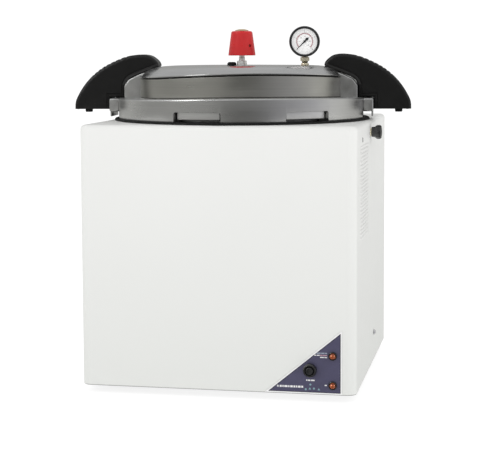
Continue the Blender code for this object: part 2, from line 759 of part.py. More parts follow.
def make_handle(name, side, parent):
    """A fin-shaped grip that sits on the bosses and curls in over the dome."""
    outer = [(0.2325, HANDLE_BOTTOM, False), (0.2302, 0.0290, True), (0.2155, 0.0520, True)]
    outer += [(0.1940, 0.0710, True), (0.1650, 0.0850, True), (0.1440, 0.0893, True)]
    outer += [(0.1290, 0.0885, True), (0.1180, 0.0810, True), (0.1135, 0.0715, False)]
    inner = [(0.1360, 0.0640, True), (0.1555, 0.0555, True), (0.1600, 0.0470, False)]
    inner += [(0.1600, 0.0300, False), (0.1850, 0.0300, False), (0.1850, HANDLE_BOTTOM, False)]
    corners = [(side * x, z, smooth) for x, z, smooth in outer + inner]
    grip = outline(name, corners, HANDLE_T, Matrix.Rotation(math.pi / 2, 4, "X"), PHENOLIC, parent, 2)
    round_edges(grip, 0.004, segments=2, angle=50)
    screw_place = at(side * HANDLE_SCREW_X, 0, 0.025)
    screw_hole = rod(f"{name}_screw_cut", 0.0028, 0.022, screw_place, None, parent, 16)
    peg_hole = rod(f"{name}_peg_cut", 0.0043, 0.012, at(side * PEG_X, 0, 0.009), None, parent, 16)
    cut(grip, screw_hole, peg_hole)


def make_handle_fixings(end, side, parent):
    place = at(side * HANDLE_SCREW_X, 0, 0)
    head_low = BOSS_LOW_Z[0] - 0.0002
    head_high = head_low + 0.0040
    profile = [(0, 0.044), (0.0025, 0.044), (0.0025, head_high)]
    profile += [(0.0048, head_high), (0.0048, head_low), (0, head_low)]
    turned(f"handle_screw_{end}", profile, place, ZINC, parent, sides=16)
    profile = [(0, 0.0205), (0.0040, 0.0205), (0.0040, 0.0115), (0.0032, 0.0105), (0, 0.0105)]
    turned(f"handle_peg_{end}", profile, at(side * PEG_X, 0, 0), BLACK_RUBBER, parent, sides=16)


def make_lid_gasket(parent):
    low = RIM_TOP + GAP
    high = CABINET_TOP + LID_UNDER - GAP
    profile = [(0.1475, high), (0.1485, high - 0.001), (0.1485, low), (0.1340, low), (0.1340, high)]
    turned("lid_gasket", profile, at(0, 0, 0), SILICONE, parent, ring=True)


def make_safety_plug(parent):
    """A rubber plug that blows out if the pressure climbs too far."""
    flat = LID_CROWN_Z + GAP
    below = LID_CROWN_Z - LID_WALL - 0.0007
    profile = [(0, flat + 0.004), (0.0045, flat + 0.004), (0.0060, flat + 0.0025), (0.0060, flat)]
    profile += [(0.0035, flat), (0.0035, below), (0.0048, below)]
    profile += [(0.0040, below - 0.003), (0, below - 0.003)]
    turned("safety_plug", profile, at(PLUG_X, 0, 0), BLACK_RUBBER, parent, sides=16)


# ---------------------------------------------------------------- regulator


def make_regulator_seat(parent):
    """The steam stem through the lid, and its nut."""
    tip = 0.1020
    profile = [(0, tip), (0.0020, tip), (STEM_R, tip - 0.004), (STEM_R, 0.060), (0, 0.060)]
    turned("regulator_stem", profile, at(0, 0, 0), CHROME, parent, sides=24)
    low = LID_CROWN_Z + GAP
    nut = rod("regulator_nut", 0.0073, 0.0055, at(0, 0, low), CHROME, parent, 6)
    cut(nut, rod("regulator_nut_cut", STEM_R + GAP, 0.02, at(0, 0, low - 0.005), None, parent, 24))


def make_regulator(parent):
    """The weight that rides on the stem, its cover and its cap, which lift together."""
    weight_low, weight_high = REGULATOR_BOTTOM + 0.002, REGULATOR_TOP - 0.006
    bore = STEM_R + 0.0008
    seat = 0.1023
    profile = [(0, weight_high), (0.0115, weight_high), (0.0115, weight_low)]
    profile += [(bore, weight_low), (bore, seat), (0, seat)]
    turned("regulator_weight", profile, at(0, 0, 0), BRASS, parent, sides=24)
    wall = 0.0022
    under_top = REGULATOR_TOP - 0.0035
    profile = [(0.0033, REGULATOR_TOP), (REGULATOR_HIGH_R - 0.0015, REGULATOR_TOP)]
    profile += [(REGULATOR_HIGH_R, REGULATOR_TOP - 0.0015), (REGULATOR_LOW_R, REGULATOR_BOTTOM)]
    profile += [(REGULATOR_LOW_R - wall, REGULATOR_BOTTOM), (0.0122, under_top), (0.0033, under_top)]
    cover = turned("regulator_cover", profile, at(0, 0, 0), RED_PLASTIC, parent, ring=True, sides=24)
    vent = rod("vent_cut", 0.0018, 0.008, facing((0.009, -0.009, 0.1055), (1, -1, 0)), None, parent, 12)
    cut(cover, vent)
    cap_low = REGULATOR_TOP + GAP
    profile = [(0, cap_low + 0.002), (0.0070, cap_low + 0.002), (0.0080, cap_low + 0.001), (0.0080, cap_low)]
    foot = weight_high + GAP
    profile += [(0.0030, cap_low), (0.0030, foot), (0, foot)]
    turned("regulator_cap", profile, at(0, 0, 0), CREAM_PLASTIC, parent, sides=24)


# ---------------------------------------------------------------- pressure gauge


def make_gauge(parent):
    """Everything but the needle. Local Z runs out of the dial, towards the reader."""
    front = facing((GAUGE_X, 0, GAUGE_Z), (0, -1, 0))
    r = GAUGE_CASE_R
    profile = [(0, -0.0115), (r - 0.0015, -0.0115), (r - 0.0015, 0.0085), (r, 0.0085), (r, -0.0115)]
    profile += [(r - 0.0015, -0.0130), (0, -0.0130)]
    case = turned("gauge_case", profile, front, BLACK_PLASTIC, parent, sides=28)
    profile = [(DIAL_R - 0.0006, 0.0125), (GAUGE_R - 0.001, 0.0125), (GAUGE_R, 0.0115), (GAUGE_R, 0.0045)]
    profile += [(r + GAP, 0.0045), (r + GAP, 0.0088), (DIAL_R - 0.0006, 0.0088)]
    turned("gauge_bezel", profile, front, BLACK_PLASTIC, parent, ring=True, sides=28)
    dial_r = DIAL_R - 0.0004
    profile = [(0.0010, 0.0048), (dial_r, 0.0048), (dial_r, 0.0040), (0.0010, 0.0040)]
    turned("gauge_dial", profile, front, DIAL_WHITE, parent, ring=True, sides=32)
    lens_r = DIAL_R - 0.0006 - GAP
    profile = [(0, 0.0112), (lens_r, 0.0112), (lens_r, 0.0100), (0, 0.0100)]
    turned("gauge_lens", profile, front, GLASS, parent, sides=32)
    port_place = at(GAUGE_X, 0, GAUGE_Z - GAUGE_CASE_R - 0.003)
    cut(case, rod("gauge_port_cut", 0.0046, 0.01, port_place, None, parent, 16))


def make_gauge_stem(parent):
    """Brass connection: shank through the lid, flange, neck and square, with a nut below."""
    foot = dome(GAUGE_X, LID_EDGE_R, LID_CROWN_Z, LID_EDGE_Z) + 0.0008
    square_low, square_high = GAUGE_Z - GAUGE_R - 0.0062, GAUGE_Z - GAUGE_R - GAP
    profile = [(0, square_high + 0.0030), (0.0042, square_high + 0.0030), (0.0042, square_low)]
    profile += [(0.0042, foot + 0.0030), (0.0085, foot + 0.0030), (0.0085, foot), (0.0050, foot)]
    profile += [(0.0050, 0.0575), (0, 0.0575)]
    stem = turned("gauge_stem", profile, at(GAUGE_X, 0, 0), BRASS, parent, sides=24)
    half = 0.0060
    square = box(
        "gauge_square",
        (GAUGE_X - half, -half, square_low),
        (GAUGE_X + half, half, square_high),
        None,
        parent,
    )
    round_edges(square, 0.0008, segments=1)
    unite(stem, square)
    nut = rod("gauge_nut", 0.0085, 0.0040, at(GAUGE_X, 0, 0.0586), BRASS, parent, 6)
    cut(nut, rod("gauge_nut_cut", 0.0053, 0.02, at(GAUGE_X, 0, 0.055), None, parent, 24))


def make_needle(parent):
    """A pointer and its tail, cut from strip, on a hub. Its own Z is the axis it turns on."""
    tip, tail = 0.0138, 0.0058
    corners = [(tip, 0.0), (0.0030, 0.0006), (0, 0.0011), (-0.0025, 0.0005), (-0.0040, 0.0014)]
    corners += [(-tail, 0.0012), (-tail, -0.0012), (-0.0040, -0.0014), (-0.0025, -0.0005), (0, -0.0011)]
    corners += [(0.0030, -0.0006)]
    turn = at(0, 0, 0.0072) @ Matrix.Rotation(NEEDLE_ZERO, 4, "Z")
    strip = [(x, y, False) for x, y in corners]
    needle = outline("gauge_needle", strip, 0.0005, turn, BLACK_PLASTIC, parent, resolution=1)
    hub = rod("needle_hub", 0.0018, 0.0016, at(0, 0, 0.0064), None, parent, 16)
    arbor = rod("needle_arbor", 0.0006, 0.0030, at(0, 0, 0.0036), None, parent, 8)
    unite(needle, hub, arbor)


# ---------------------------------------------------------------- control panel


def make_panel():
    """The three-cornered plate on the front, with the lamps and the breaker."""
    corner_x, corner_z = PANEL_CORNER
    y = FRONT_Y - GAP - PANEL_T / 2
    corners = [(corner_x, corner_z, False), (corner_x, PANEL_TOP, False), (PANEL_LEFT, corner_z, False)]
    place = at(0, y, 0) @ Matrix.Rotation(math.pi / 2, 4, "X")
    plate = outline("control_panel", corners, PANEL_T, place, PANEL_BLUE)
    holes = [("breaker", *BREAKER, 0.0068)] + [(name, x, z, 0.0043) for name, (x, z) in LAMPS.items()]
    for name, x, z, radius in holes:
        place = facing((x, y + 0.005, z), (0, -1, 0))
        cut(plate, rod(f"{name}_panel_cut", radius, 0.01, place, sides=16))


def on_panel(x, z):
    """A place on the panel's face, with Z pointing out of it."""
    return facing((x, FRONT_Y - GAP - PANEL_T, z), (0, -1, 0))


def make_lamp(name, x, z):
    front = on_panel(x, z)
    rim = 0.0024
    profile = [(0, -0.0010), (0.0035, -0.0010), (0.0046, rim), (0.0055, rim - 0.0008), (0.0055, GAP)]
    profile += [(0.0039, GAP), (0.0039, -0.0180), (0, -0.0180)]
    turned(f"{name}_bezel", profile, front, BLACK_PLASTIC, sides=20)
    profile = [(0, 0.0060), (0.0022, 0.0054), (0.0037, 0.0034), (0.0041, rim - 0.0002)]
    profile += [(0.0031, -0.0006), (0, -0.0006)]
    turned(f"{name}_lens", profile, front, AMBER, sides=12)


def make_breaker():
    """A round reset breaker: a collar with its body behind the panel."""
    front = on_panel(*BREAKER)
    high = 0.0068
    profile = [(0, -0.0060), (0.0052, -0.0060), (0.0052, high), (BREAKER_R - 0.0015, high)]
    profile += [(BREAKER_R, high - 0.0018), (BREAKER_R, GAP), (0.0065, GAP)]
    profile += [(0.0065, -0.0300), (0, -0.0300)]
    turned("breaker_collar", profile, front, BLACK_PLASTIC, sides=24)


def make_breaker_button(parent):
    """The push-to-reset button. Its face is the foremost point of the object."""
    length = REACH_Y - (CABINET_D / 2 + GAP + PANEL_T) + 0.0020
    profile = [(0, length - 0.0020), (0.0038, length - 0.0020), (0.0047, length - 0.0030)]
    profile += [(0.0047, -0.0020), (0, -0.0020)]
    turned("breaker_button", profile, facing((0, 0, 0), (0, -1, 0)), BLACK_PLASTIC, parent, sides=20)


# ---------------------------------------------------------------- services


def make_exhaust_valve():
    """The valve body through the side wall, with a pipe from the vessel."""
    start = 0.1545
    shoulder = SIDE_X - SHEET - GAP
    profile = [(0, SIDE_X + 0.0045), (0.0030, SIDE_X + 0.0045), (0.0030, SIDE_X + 0.0015)]
    profile += [(0.0055, SIDE_X + 0.0015), (0.0055, shoulder), (0.0080, shoulder)]
    profile += [(0.0080, start), (0.0042, start), (0.0042, start + 0.0040), (0, start + 0.0040)]
    profile = [(r, h - start) for r, h in profile]
    place = facing((start, VALVE_Y, VALVE_Z), (1, 0, 0))
    body = turned("exhaust_valve_body", profile, place, BRASS, sides=16)
    outlet_place = at(0.1665, VALVE_Y, VALVE_Z - 0.0090)
    cut(body, rod("valve_outlet_cut", PIPE_R + 0.0002, 0.008, outlet_place, sides=12))
    reach = start + 0.0035 - (VESSEL_R - 0.002)
    place = facing((VESSEL_R - 0.002, VALVE_Y, VALVE_Z), (1, 0, 0))
    rod("exhaust_pipe", PIPE_R, reach, place, COPPER, sides=12)
    points = [(0.1665, VALVE_Y, VALVE_Z - 0.0070), (0.1665, VALVE_Y, 0.300), (0.1665, -0.010, 0.275)]
    points += [(0.1665, 0.060, 0.200), (0.1665, 0.120, 0.130)]
    points += [(0.1640, 0.145, 0.095), (0.1500, 0.158, 0.070)]
    points += [(OUTLET_X + 0.002, 0.162, OUTLET_Z + 0.001), (OUTLET_X, 0.170, OUTLET_Z)]
    tube("discharge_pipe", points, 0.0038, at(0, 0, 0), COPPER, resolution=1)


def make_valve_knob(parent):
    """A flared knob. Its own Z is the axis it turns on."""
    base, tip = 0.0018, 0.0150
    profile = [(0, tip), (0.0080, tip), (0.0095, tip - 0.0015), (0.0095, tip - 0.0060)]
    profile += [(0.0069, tip - 0.0088), (0.0069, base), (0.0034, base), (0.0034, 0.0049), (0, 0.0049)]
    turned("exhaust_valve_knob", profile, facing((0, 0, 0), (1, 0, 0)), BLACK_PLASTIC, parent, sides=20)


def make_outlet():
    """The exhaust union at the back. Its tip is the rearmost point of the object."""
    face = BACK_Y + GAP + SHEET + GAP
    place = facing((OUTLET_X, face, OUTLET_Z), (0, 1, 0))
    tip = REACH_Y - face
    inner = -0.0120
    profile = [(0.0040, inner), (0.0040, -0.0090), (0.0026, -0.0090), (0.0026, tip), (0.0042, tip)]
    profile += [(0.0052, 0.0035), (0.0052, 0.0030), (0.0090, 0.0030), (0.0090, 0)]
    profile += [(0.0060, 0), (0.0060, inner)]
    turned("exhaust_outlet", profile, place, BRASS, ring=True, sides=16)


def make_power_inlet():
    """A three-pin appliance inlet that snaps into the back panel."""
    face = BACK_Y + GAP + SHEET + GAP

    def block(name, half_w, half_h, back, front, material=None):
        low = (INLET_X - half_w, face + back, INLET_Z - half_h)
        high = (INLET_X + half_w, face + front, INLET_Z + half_h)
        return box(name, low, high, material)

    flange = block("power_inlet", 0.0180, 0.0135, 0, 0.003, BLACK_PLASTIC)
    body = block("inlet_body", 0.0137, 0.0097, -0.022, 0.001)
    hollow = block("inlet_hollow", 0.0122, 0.0082, -0.015, 0.010)
    unite(flange, body)
    cut(flange, hollow)
    for x, z in ((-0.007, 0.002), (0.007, 0.002), (0, -0.002)):
        low = (INLET_X + x - 0.001, face - 0.016, INLET_Z + z - 0.002)
        unite(flange, box("inlet_pin", low, (low[0] + 0.002, face - 0.003, low[2] + 0.004)))


def make_electrics():
    """The pressure switch in the front corner, its pipe, and the terminal block on the pan."""
    switch = box("pressure_switch", (0.1385, -0.1750, 0.110), (0.1750, -0.1385, 0.165), BLACK_PLASTIC)
    round_edges(switch, 0.002, segments=1)
    middle = 0.15675
    points = [(middle, -middle, 0.1653), (middle, -middle, 0.285)]
    points += [(middle - 0.004, -middle + 0.004, 0.296), (middle - 0.013, -middle + 0.013, 0.300)]
    points += [(0.0905, -0.0905, 0.300)]
    tube("switch_pipe", points, 0.0036, at(0, 0, 0), COPPER, resolution=1)
    floor = PAN_BOTTOM + PAN_T + GAP
    block = box("terminal_block", (-0.150, 0.085, floor), (-0.132, 0.145, floor + 0.016), CREAM_PLASTIC)
    for i in range(5):
        y = 0.091 + 0.012 * i
        low, high = (-0.147, y - 0.004, floor + 0.008), (-0.135, y + 0.004, floor + 0.03)
        cut(block, box(f"terminal_cut_{i}", low, high))


# ---------------------------------------------------------------- assembly


def build():
    make_cabinet_shell()
    make_back_panel()
    make_base_pan()
    make_feet()
    make_trim_ring()
    make_cabinet_screws()
    make_vessel()
    make_jacket()
    make_heating_element()
    make_stand()
    make_panel()
    for name, (x, z) in LAMPS.items():
        make_lamp(name, x, z)
    make_breaker()
    make_exhaust_valve()
    make_outlet()
    make_power_inlet()
    make_electrics()

    breaker_axis = add_empty("breaker_axis", (BREAKER[0], FRONT_Y - GAP - PANEL_T, BREAKER[1]))
    make_breaker_button(breaker_axis)
    valve_axis = add_empty("valve_axis", (SIDE_X, VALVE_Y, VALVE_Z))
    make_valve_knob(valve_axis)

    basket_base = add_empty("basket_base", (0, 0, 0))
    make_basket(basket_base)
    bail_axis = add_empty("bail_axis", (0, 0, BAIL_Z), parent=basket_base)
    make_bail(bail_axis)

    seal_base = add_empty("seal_base", (0, 0, 0))
    make_lid_gasket(seal_base)
    lid_axis = add_empty("lid_axis", (0, 0, CABINET_TOP), yaw=LID_YAW, parent=seal_base)
    make_lid(lid_axis)
    for end, side in (("left", -1), ("right", 1)):
        make_handle(f"handle_{end}", side, lid_axis)
        make_handle_fixings(end, side, lid_axis)
    make_safety_plug(lid_axis)
    make_regulator_seat(lid_axis)
    make_gauge(lid_axis)
    make_gauge_stem(lid_axis)
    regulator_base = add_empty("regulator_base", (0, 0, 0), parent=lid_axis)
    make_regulator(regulator_base)
    needle_axis = add_empty("needle_axis", (GAUGE_X, 0, GAUGE_Z), parent=lid_axis)
    needle_axis.rotation_euler = (math.pi / 2, 0, 0)
    make_needle(needle_axis)


build()
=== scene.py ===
# Benchtop autoclave: the finished look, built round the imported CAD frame.
# Metres, +Z up, front towards -Y.
import json
import math

import bmesh
import bpy
import numpy as np
from mathutils import Matrix, Vector


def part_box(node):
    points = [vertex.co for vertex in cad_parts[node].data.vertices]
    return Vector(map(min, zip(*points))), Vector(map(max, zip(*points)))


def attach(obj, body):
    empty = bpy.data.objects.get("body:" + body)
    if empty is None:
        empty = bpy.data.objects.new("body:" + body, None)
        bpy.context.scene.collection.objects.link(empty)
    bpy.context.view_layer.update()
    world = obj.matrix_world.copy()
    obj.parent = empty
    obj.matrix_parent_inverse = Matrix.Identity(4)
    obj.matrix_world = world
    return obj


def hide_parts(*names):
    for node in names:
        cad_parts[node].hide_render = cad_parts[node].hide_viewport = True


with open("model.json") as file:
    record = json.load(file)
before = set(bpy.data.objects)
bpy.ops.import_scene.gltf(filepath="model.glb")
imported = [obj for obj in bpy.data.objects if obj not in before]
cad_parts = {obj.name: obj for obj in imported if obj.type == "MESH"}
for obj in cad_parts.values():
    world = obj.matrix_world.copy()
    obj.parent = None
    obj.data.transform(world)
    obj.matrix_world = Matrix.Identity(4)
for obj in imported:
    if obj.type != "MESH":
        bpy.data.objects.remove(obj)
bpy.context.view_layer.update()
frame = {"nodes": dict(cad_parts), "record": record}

GAP = 0.0003
SHEET = 0.0012
SHELL_LOW, SHELL_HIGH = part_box("cabinet_shell")
TOP = SHELL_HIGH.z
SIDE = SHELL_HIGH.x
FRONT = SHELL_LOW.y
BACK = SHELL_HIGH.y
BODY_OF = {n: body for body, names in frame["record"]["behaviour"]["bodies"].items() for n in names}
SLOT_OF = {part["node"]: part["material_slot"] for part in frame["record"]["subparts"]}

HERE = Matrix.Identity(4)
TO_FRONT, TO_BACK = (0, -1, 0), (0, 1, 0)
LID_YAW = math.radians(5.4)
ON_LID = Matrix.Translation((0, 0, TOP)) @ Matrix.Rotation(LID_YAW, 4, "Z")
NOTCHES = [math.radians(a) for a in (-14.5, 36, 90, 165.5, 216, 270)]
TURN_X = Matrix.Rotation(math.pi / 2, 4, "X")  # local Z to the front, local Y up


# ---------------------------------------------------------------- materials


class Nodes:
    """A node tree under construction."""

    def __init__(self, tree):
        self.tree = tree

    def node(self, kind, **settings):
        made = self.tree.nodes.new(kind)
        for key, value in settings.items():
            setattr(made, key, value)
        return made

    def link(self, source, target):
        self.tree.links.new(source, target)

    def feed(self, socket, value):
        if isinstance(value, bpy.types.NodeSocket):
            self.link(value, socket)
        else:
            socket.default_value = value

    def maths(self, operation, first, second=0.0):
        made = self.node("ShaderNodeMath", operation=operation)
        self.feed(made.inputs[0], first)
        self.feed(made.inputs[1], second)
        return made.outputs[0]

    def span(self, value, low, high, to_low=0.0, to_high=1.0, smooth=False):
        made = self.node("ShaderNodeMapRange", interpolation_type="SMOOTHSTEP" if smooth else "LINEAR")
        sockets = ("Value", "From Min", "From Max", "To Min", "To Max")
        for key, number in zip(sockets, (value, low, high, to_low, to_high)):
            self.feed(made.inputs[key], number)
        return made.outputs["Result"]

    def mixed(self, amount, first, colour):
        mix = self.node("ShaderNodeMix", data_type="RGBA")
        for index, value in ((0, amount), (6, first), (7, (*colour, 1))):
            self.feed(mix.inputs[index], value)
        return mix.outputs[2]

    def axes(self, vector):
        split = self.node("ShaderNodeSeparateXYZ")
        self.link(vector, split.inputs[0])
        return split.outputs


class Finish(Nodes):
    """A Principled material under construction."""

    def __init__(self, name, colour, roughness, metallic=0.0, **sockets):
        self.made = bpy.data.materials.new(name)
        self.made.use_nodes = True
        super().__init__(self.made.node_tree)
        self.shader = self.tree.nodes["Principled BSDF"]
        self.colour = (*colour, 1)
        self.normal = None
        sockets = {"Base Color": self.colour, "Roughness": roughness, "Metallic": metallic, **sockets}
        for socket, value in sockets.items():
            self.shader.inputs[socket.replace("_", " ")].default_value = value
        self.xyz = self.node("ShaderNodeTexCoord").outputs["Object"]

    def texture(self, kind, output, vector=None, **inputs):
        made = self.node(kind)
        for key, value in inputs.items():
            made.inputs[key].default_value = value
        self.link(vector or self.xyz, made.inputs["Vector"])
        return made.outputs[output]

    def noise(self, scale, detail, vector=None):
        return self.texture("ShaderNodeTexNoise", "Fac", vector, Scale=scale, Detail=detail)

    def cells(self, scale, output="Distance"):
        return self.texture("ShaderNodeTexVoronoi", output, Scale=scale)

    def ring(self, across, round_it):
        """Coordinates that run round the local Z axis: turning marks follow them."""
        x, y, z = self.axes(self.xyz)
        squares = [self.maths("MULTIPLY", axis, axis) for axis in (x, y)]
        radius = self.maths("SQRT", self.maths("ADD", *squares))
        made = self.node("ShaderNodeCombineXYZ")
        scaled = ((radius, across), (self.maths("ARCTAN2", y, x), round_it), (z, across))
        for socket, (value, factor) in zip(made.inputs, scaled):
            self.link(self.maths("MULTIPLY", value, factor), socket)
        return made.outputs[0]

    def tint(self, amount, colour):
        """Moves the base colour towards another where amount is high."""
        self.colour = self.mixed(amount, self.colour, colour)
        self.link(self.colour, self.shader.inputs["Base Color"])

    def roughen(self, amount, low, high, start=0.3, end=0.7):
        self.link(self.span(amount, start, end, low, high), self.shader.inputs["Roughness"])

    def bump(self, amount, height):
        made = self.node("ShaderNodeBump")
        made.inputs["Distance"].default_value = height
        self.link(amount, made.inputs["Height"])
        if self.normal:
            self.link(self.normal, made.inputs["Normal"])
        self.normal = made.outputs["Normal"]
        self.link(self.normal, self.shader.inputs["Normal"])

    def clouds(self, scale, detail, low, high, colour, amount=1.0):
        """Clouds or specks of another colour."""
        self.tint(self.span(self.noise(scale, detail), low, high, 0.0, amount), colour)
        return self

    def gloss(self, scale, detail, low, high):
        self.roughen(self.noise(scale, detail), low, high)
        return self

    def grain(self, scale, detail, height):
        self.bump(self.noise(scale, detail), height)
        return self

    def brushed_round(self, strength):
        """Highlights stretch across marks that run round the local Z axis."""
        self.shader.inputs["Anisotropic"].default_value = strength
        tangent = self.node("ShaderNodeTangent", direction_type="RADIAL", axis="Z")
        self.link(tangent.outputs[0], self.shader.inputs["Tangent"])


def powder_coat():
    coat = Finish("powder_coat_white", (0.850, 0.853, 0.836), 0.42)
    coat.clouds(5, 3, 0.35, 0.75, (0.820, 0.824, 0.802), 0.5)
    height = coat.axes(coat.xyz)[2]
    # Painted shade: the coat darkens towards the bottom of the cabinet, where less light falls.
    coat.tint(coat.span(height, 0.165, -0.150), (0.762, 0.772, 0.748))
    coat.clouds(700, 1, 0.70, 0.82, (0.76, 0.76, 0.74), 0.3)
    # Painted shadow: a thin dark line along the cabinet's bottom fold, standing in for the shadow under its
    # edge.
    coat.tint(coat.span(height, -0.1684, -0.1694), (0.24, 0.24, 0.235))
    return coat.gloss(60, 2, 0.38, 0.50).grain(380, 2, 0.000025).grain(2400, 1, 0.000008)


def turned_aluminium(name, colour, darker, rough):
    """Turned casting: fine marks run round it, with broad clouds where it has been polished by hand."""
    lid = Finish(name, colour, rough, 1.0)
    marks = lid.noise(1, 3, lid.ring(2200, 0.6))
    wide = lid.noise(1, 2, lid.ring(150, 1.6))
    smear = lid.noise(14, 3)
    lid.tint(lid.span(marks, 0.35, 0.75, 0.0, 0.35), darker)
    lid.tint(lid.span(wide, 0.45, 0.70, 0.0, 0.30), [min(1, c * 1.12) for c in colour])
    lid.tint(lid.span(smear, 0.50, 0.75, 0.0, 0.35), [c * 0.78 for c in colour])
    broad = lid.span(wide, 0.3, 0.7, rough - 0.04, rough + 0.05)
    uneven = lid.maths("ADD", broad, lid.span(smear, 0.4, 0.7, 0.0, 0.07))
    lid.link(uneven, lid.shader.inputs["Roughness"])
    lid.bump(marks, 0.000006)
    lid.brushed_round(0.45)
    return lid.grain(30, 2, 0.00008)


def drawn_steel():
    steel = Finish("stainless_drawn", (0.58, 0.58, 0.58), 0.3, 1.0)
    marks = steel.noise(1, 3, steel.ring(1500, 0.8))
    steel.tint(steel.span(marks, 0.35, 0.7, 0.0, 0.5), (0.45, 0.45, 0.45))
    steel.bump(marks, 0.000006)
    steel.brushed_round(0.4)
    return steel.clouds(25, 3, 0.5, 0.75, (0.50, 0.48, 0.44), 0.5).gloss(40, 3, 0.24, 0.40)


def zinc_plate():
    zinc = Finish("zinc_plate", (0.56, 0.57, 0.58), 0.38, 1.0)
    zinc.tint(zinc.span(zinc.cells(90), 0.2, 0.7, 0.0, 0.6), (0.47, 0.48, 0.50))
    zinc.roughen(zinc.cells(90), 0.30, 0.48, 0.2, 0.8)
    return zinc.clouds(30, 3, 0.5, 0.7, (0.60, 0.57, 0.48), 0.4).grain(600, 2, 0.00001)


def cast_aluminium():
    cast = Finish("aluminium_cast_satin", (0.62, 0.62, 0.61), 0.34, 1.0)
    cast.clouds(45, 4, 0.35, 0.7, (0.50, 0.50, 0.49)).clouds(700, 2, 0.6, 0.75, (0.40, 0.40, 0.39), 0.6)
    return cast.gloss(120, 3, 0.28, 0.44).grain(500, 3, 0.00003)


def groove_residue():
    """Painted shade: a dull grey-black for the groove under the dome's edge and the band's foot, standing in
    for the shade there.
    """
    shade_paint = Finish("groove_residue", (0.035, 0.034, 0.031), 0.55, 0.3)
    return shade_paint.clouds(120, 3, 0.45, 0.75, (0.075, 0.072, 0.064)).grain(800, 2, 0.00002)


def chrome_plate():
    chrome = Finish("chrome_plate", (0.80, 0.80, 0.81), 0.08, 1.0)
    chrome.clouds(300, 2, 0.5, 0.75, (0.66, 0.66, 0.66), 0.4)
    return chrome.gloss(150, 3, 0.05, 0.14).grain(500, 1, 0.000004)


def bright_nickel():
    nickel = Finish("nickel_bright", (0.92, 0.92, 0.91), 0.14, 0.5)
    nickel.clouds(260, 3, 0.5, 0.75, (0.74, 0.73, 0.70), 0.5)
    return nickel.gloss(150, 3, 0.10, 0.20).grain(500, 1, 0.000004)


def aged_brass():
    brass = Finish("brass_machined", (0.93, 0.86, 0.66), 0.25, 0.62)
    brass.bump(brass.noise(1, 2, brass.ring(3000, 0.5)), 0.000006)
    return brass.clouds(250, 3, 0.50, 0.75, (0.72, 0.60, 0.36), 0.6).gloss(400, 2, 0.18, 0.36)


def copper_pipe():
    copper = Finish("copper_drawn", (0.74, 0.43, 0.30), 0.32, 1.0)
    copper.clouds(80, 3, 0.45, 0.7, (0.42, 0.22, 0.14), 0.7)
    return copper.gloss(120, 2, 0.25, 0.45).grain(300, 2, 0.00001)


def phenolic():
    """Moulded resin, paler where its edges are worn."""
    black = Finish("phenolic_black", (0.0052, 0.0051, 0.0050), 0.40, Specular_IOR_Level=0.36)
    black.clouds(35, 3, 0.40, 0.80, (0.0070, 0.0068, 0.0066))
    black.clouds(1800, 2, 0.60, 0.75, (0.013, 0.013, 0.012), 0.5)
    standing_out = black.span(black.node("ShaderNodeNewGeometry").outputs["Pointiness"], 0.52, 0.60)
    wear = black.maths("MULTIPLY", standing_out, black.span(black.noise(200, 3), 0.4, 0.7))
    black.tint(wear, (0.024, 0.023, 0.021))
    return black.gloss(90, 3, 0.36, 0.47).grain(900, 2, 0.000010)


def moulded(name, colour, lighter, roughness, **sockets):
    """Moulded plastic: fine grain, cloudy colour and gently uneven gloss."""
    made = Finish(name, colour, roughness, **sockets).clouds(60, 3, 0.4, 0.75, lighter)
    return made.gloss(200, 3, roughness * 0.8, roughness * 1.25).grain(1500, 2, 0.00001)


def rubber():
    black = Finish("rubber_black", (0.006, 0.006, 0.006), 0.62, Specular_IOR_Level=0.25)
    black.clouds(70, 4, 0.45, 0.7, (0.009, 0.009, 0.009))
    black.clouds(1300, 2, 0.62, 0.78, (0.022, 0.022, 0.021), 0.5)
    return black.gloss(300, 2, 0.52, 0.75).grain(1100, 3, 0.00002)


def painted_panel():
    """Screen-printed plate: slate blue with a fine satin texture, darker towards its edge."""
    panel = Finish("panel_print_slate", (0.078, 0.073, 0.138), 0.36)
    panel.clouds(40, 4, 0.35, 0.7, (0.064, 0.060, 0.112)).clouds(1500, 2, 0.6, 0.8, (0.11, 0.105, 0.17), 0.6)
    low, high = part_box("control_panel")
    x, y = panel.axes(panel.xyz)[:2]
    from_right = panel.maths("SUBTRACT", high.x, x)
    from_below = panel.maths("SUBTRACT", y, low.z)
    width, height = high.x - low.x, high.z - low.z
    rising = panel.maths("MULTIPLY", panel.maths("SUBTRACT", x, low.x), height)
    across = panel.maths("SUBTRACT", rising, panel.maths("MULTIPLY", from_below, width))
    from_slope = panel.maths("DIVIDE", across, math.hypot(width, height))
    rim = panel.maths("MINIMUM", from_right, panel.maths("MINIMUM", from_below, from_slope))
    panel.tint(panel.span(rim, 0.0012, 0.0004), (0.022, 0.020, 0.036))
    return panel.gloss(150, 2, 0.30, 0.44).grain(1700, 2, 0.000008)


def amber():
    """Cut glass over a bright reflector, with its facet cells tinted dark and bright as painted reflections
    and a faint painted glow.
    """
    # Painted glow: a faint emission on a lamp that is not lit.
    glow = {"Emission_Color": (0.9, 0.20, 0.05, 1), "Emission_Strength": 0.03}
    lens = Finish("amber_cut", (0.56, 0.125, 0.035), 0.10, 0.55, Coat_Weight=0.8, **glow)
    facet_glints = lens.cells(560, "Color")
    # Painted reflections: facet cells are tinted dark and bright.
    lens.tint(lens.span(facet_glints, 0.58, 0.42), (0.075, 0.015, 0.006))
    lens.tint(lens.span(facet_glints, 0.74, 0.86), (1.0, 0.55, 0.36))
    lens.bump(facet_glints, 0.0002)
    return lens.gloss(300, 2, 0.06, 0.18)


def clear():
    lens = Finish("lens_clear", (0.30, 0.31, 0.31), 0.04, Alpha=0.04)
    return lens.gloss(200, 2, 0.02, 0.08).grain(60, 1, 0.00002)


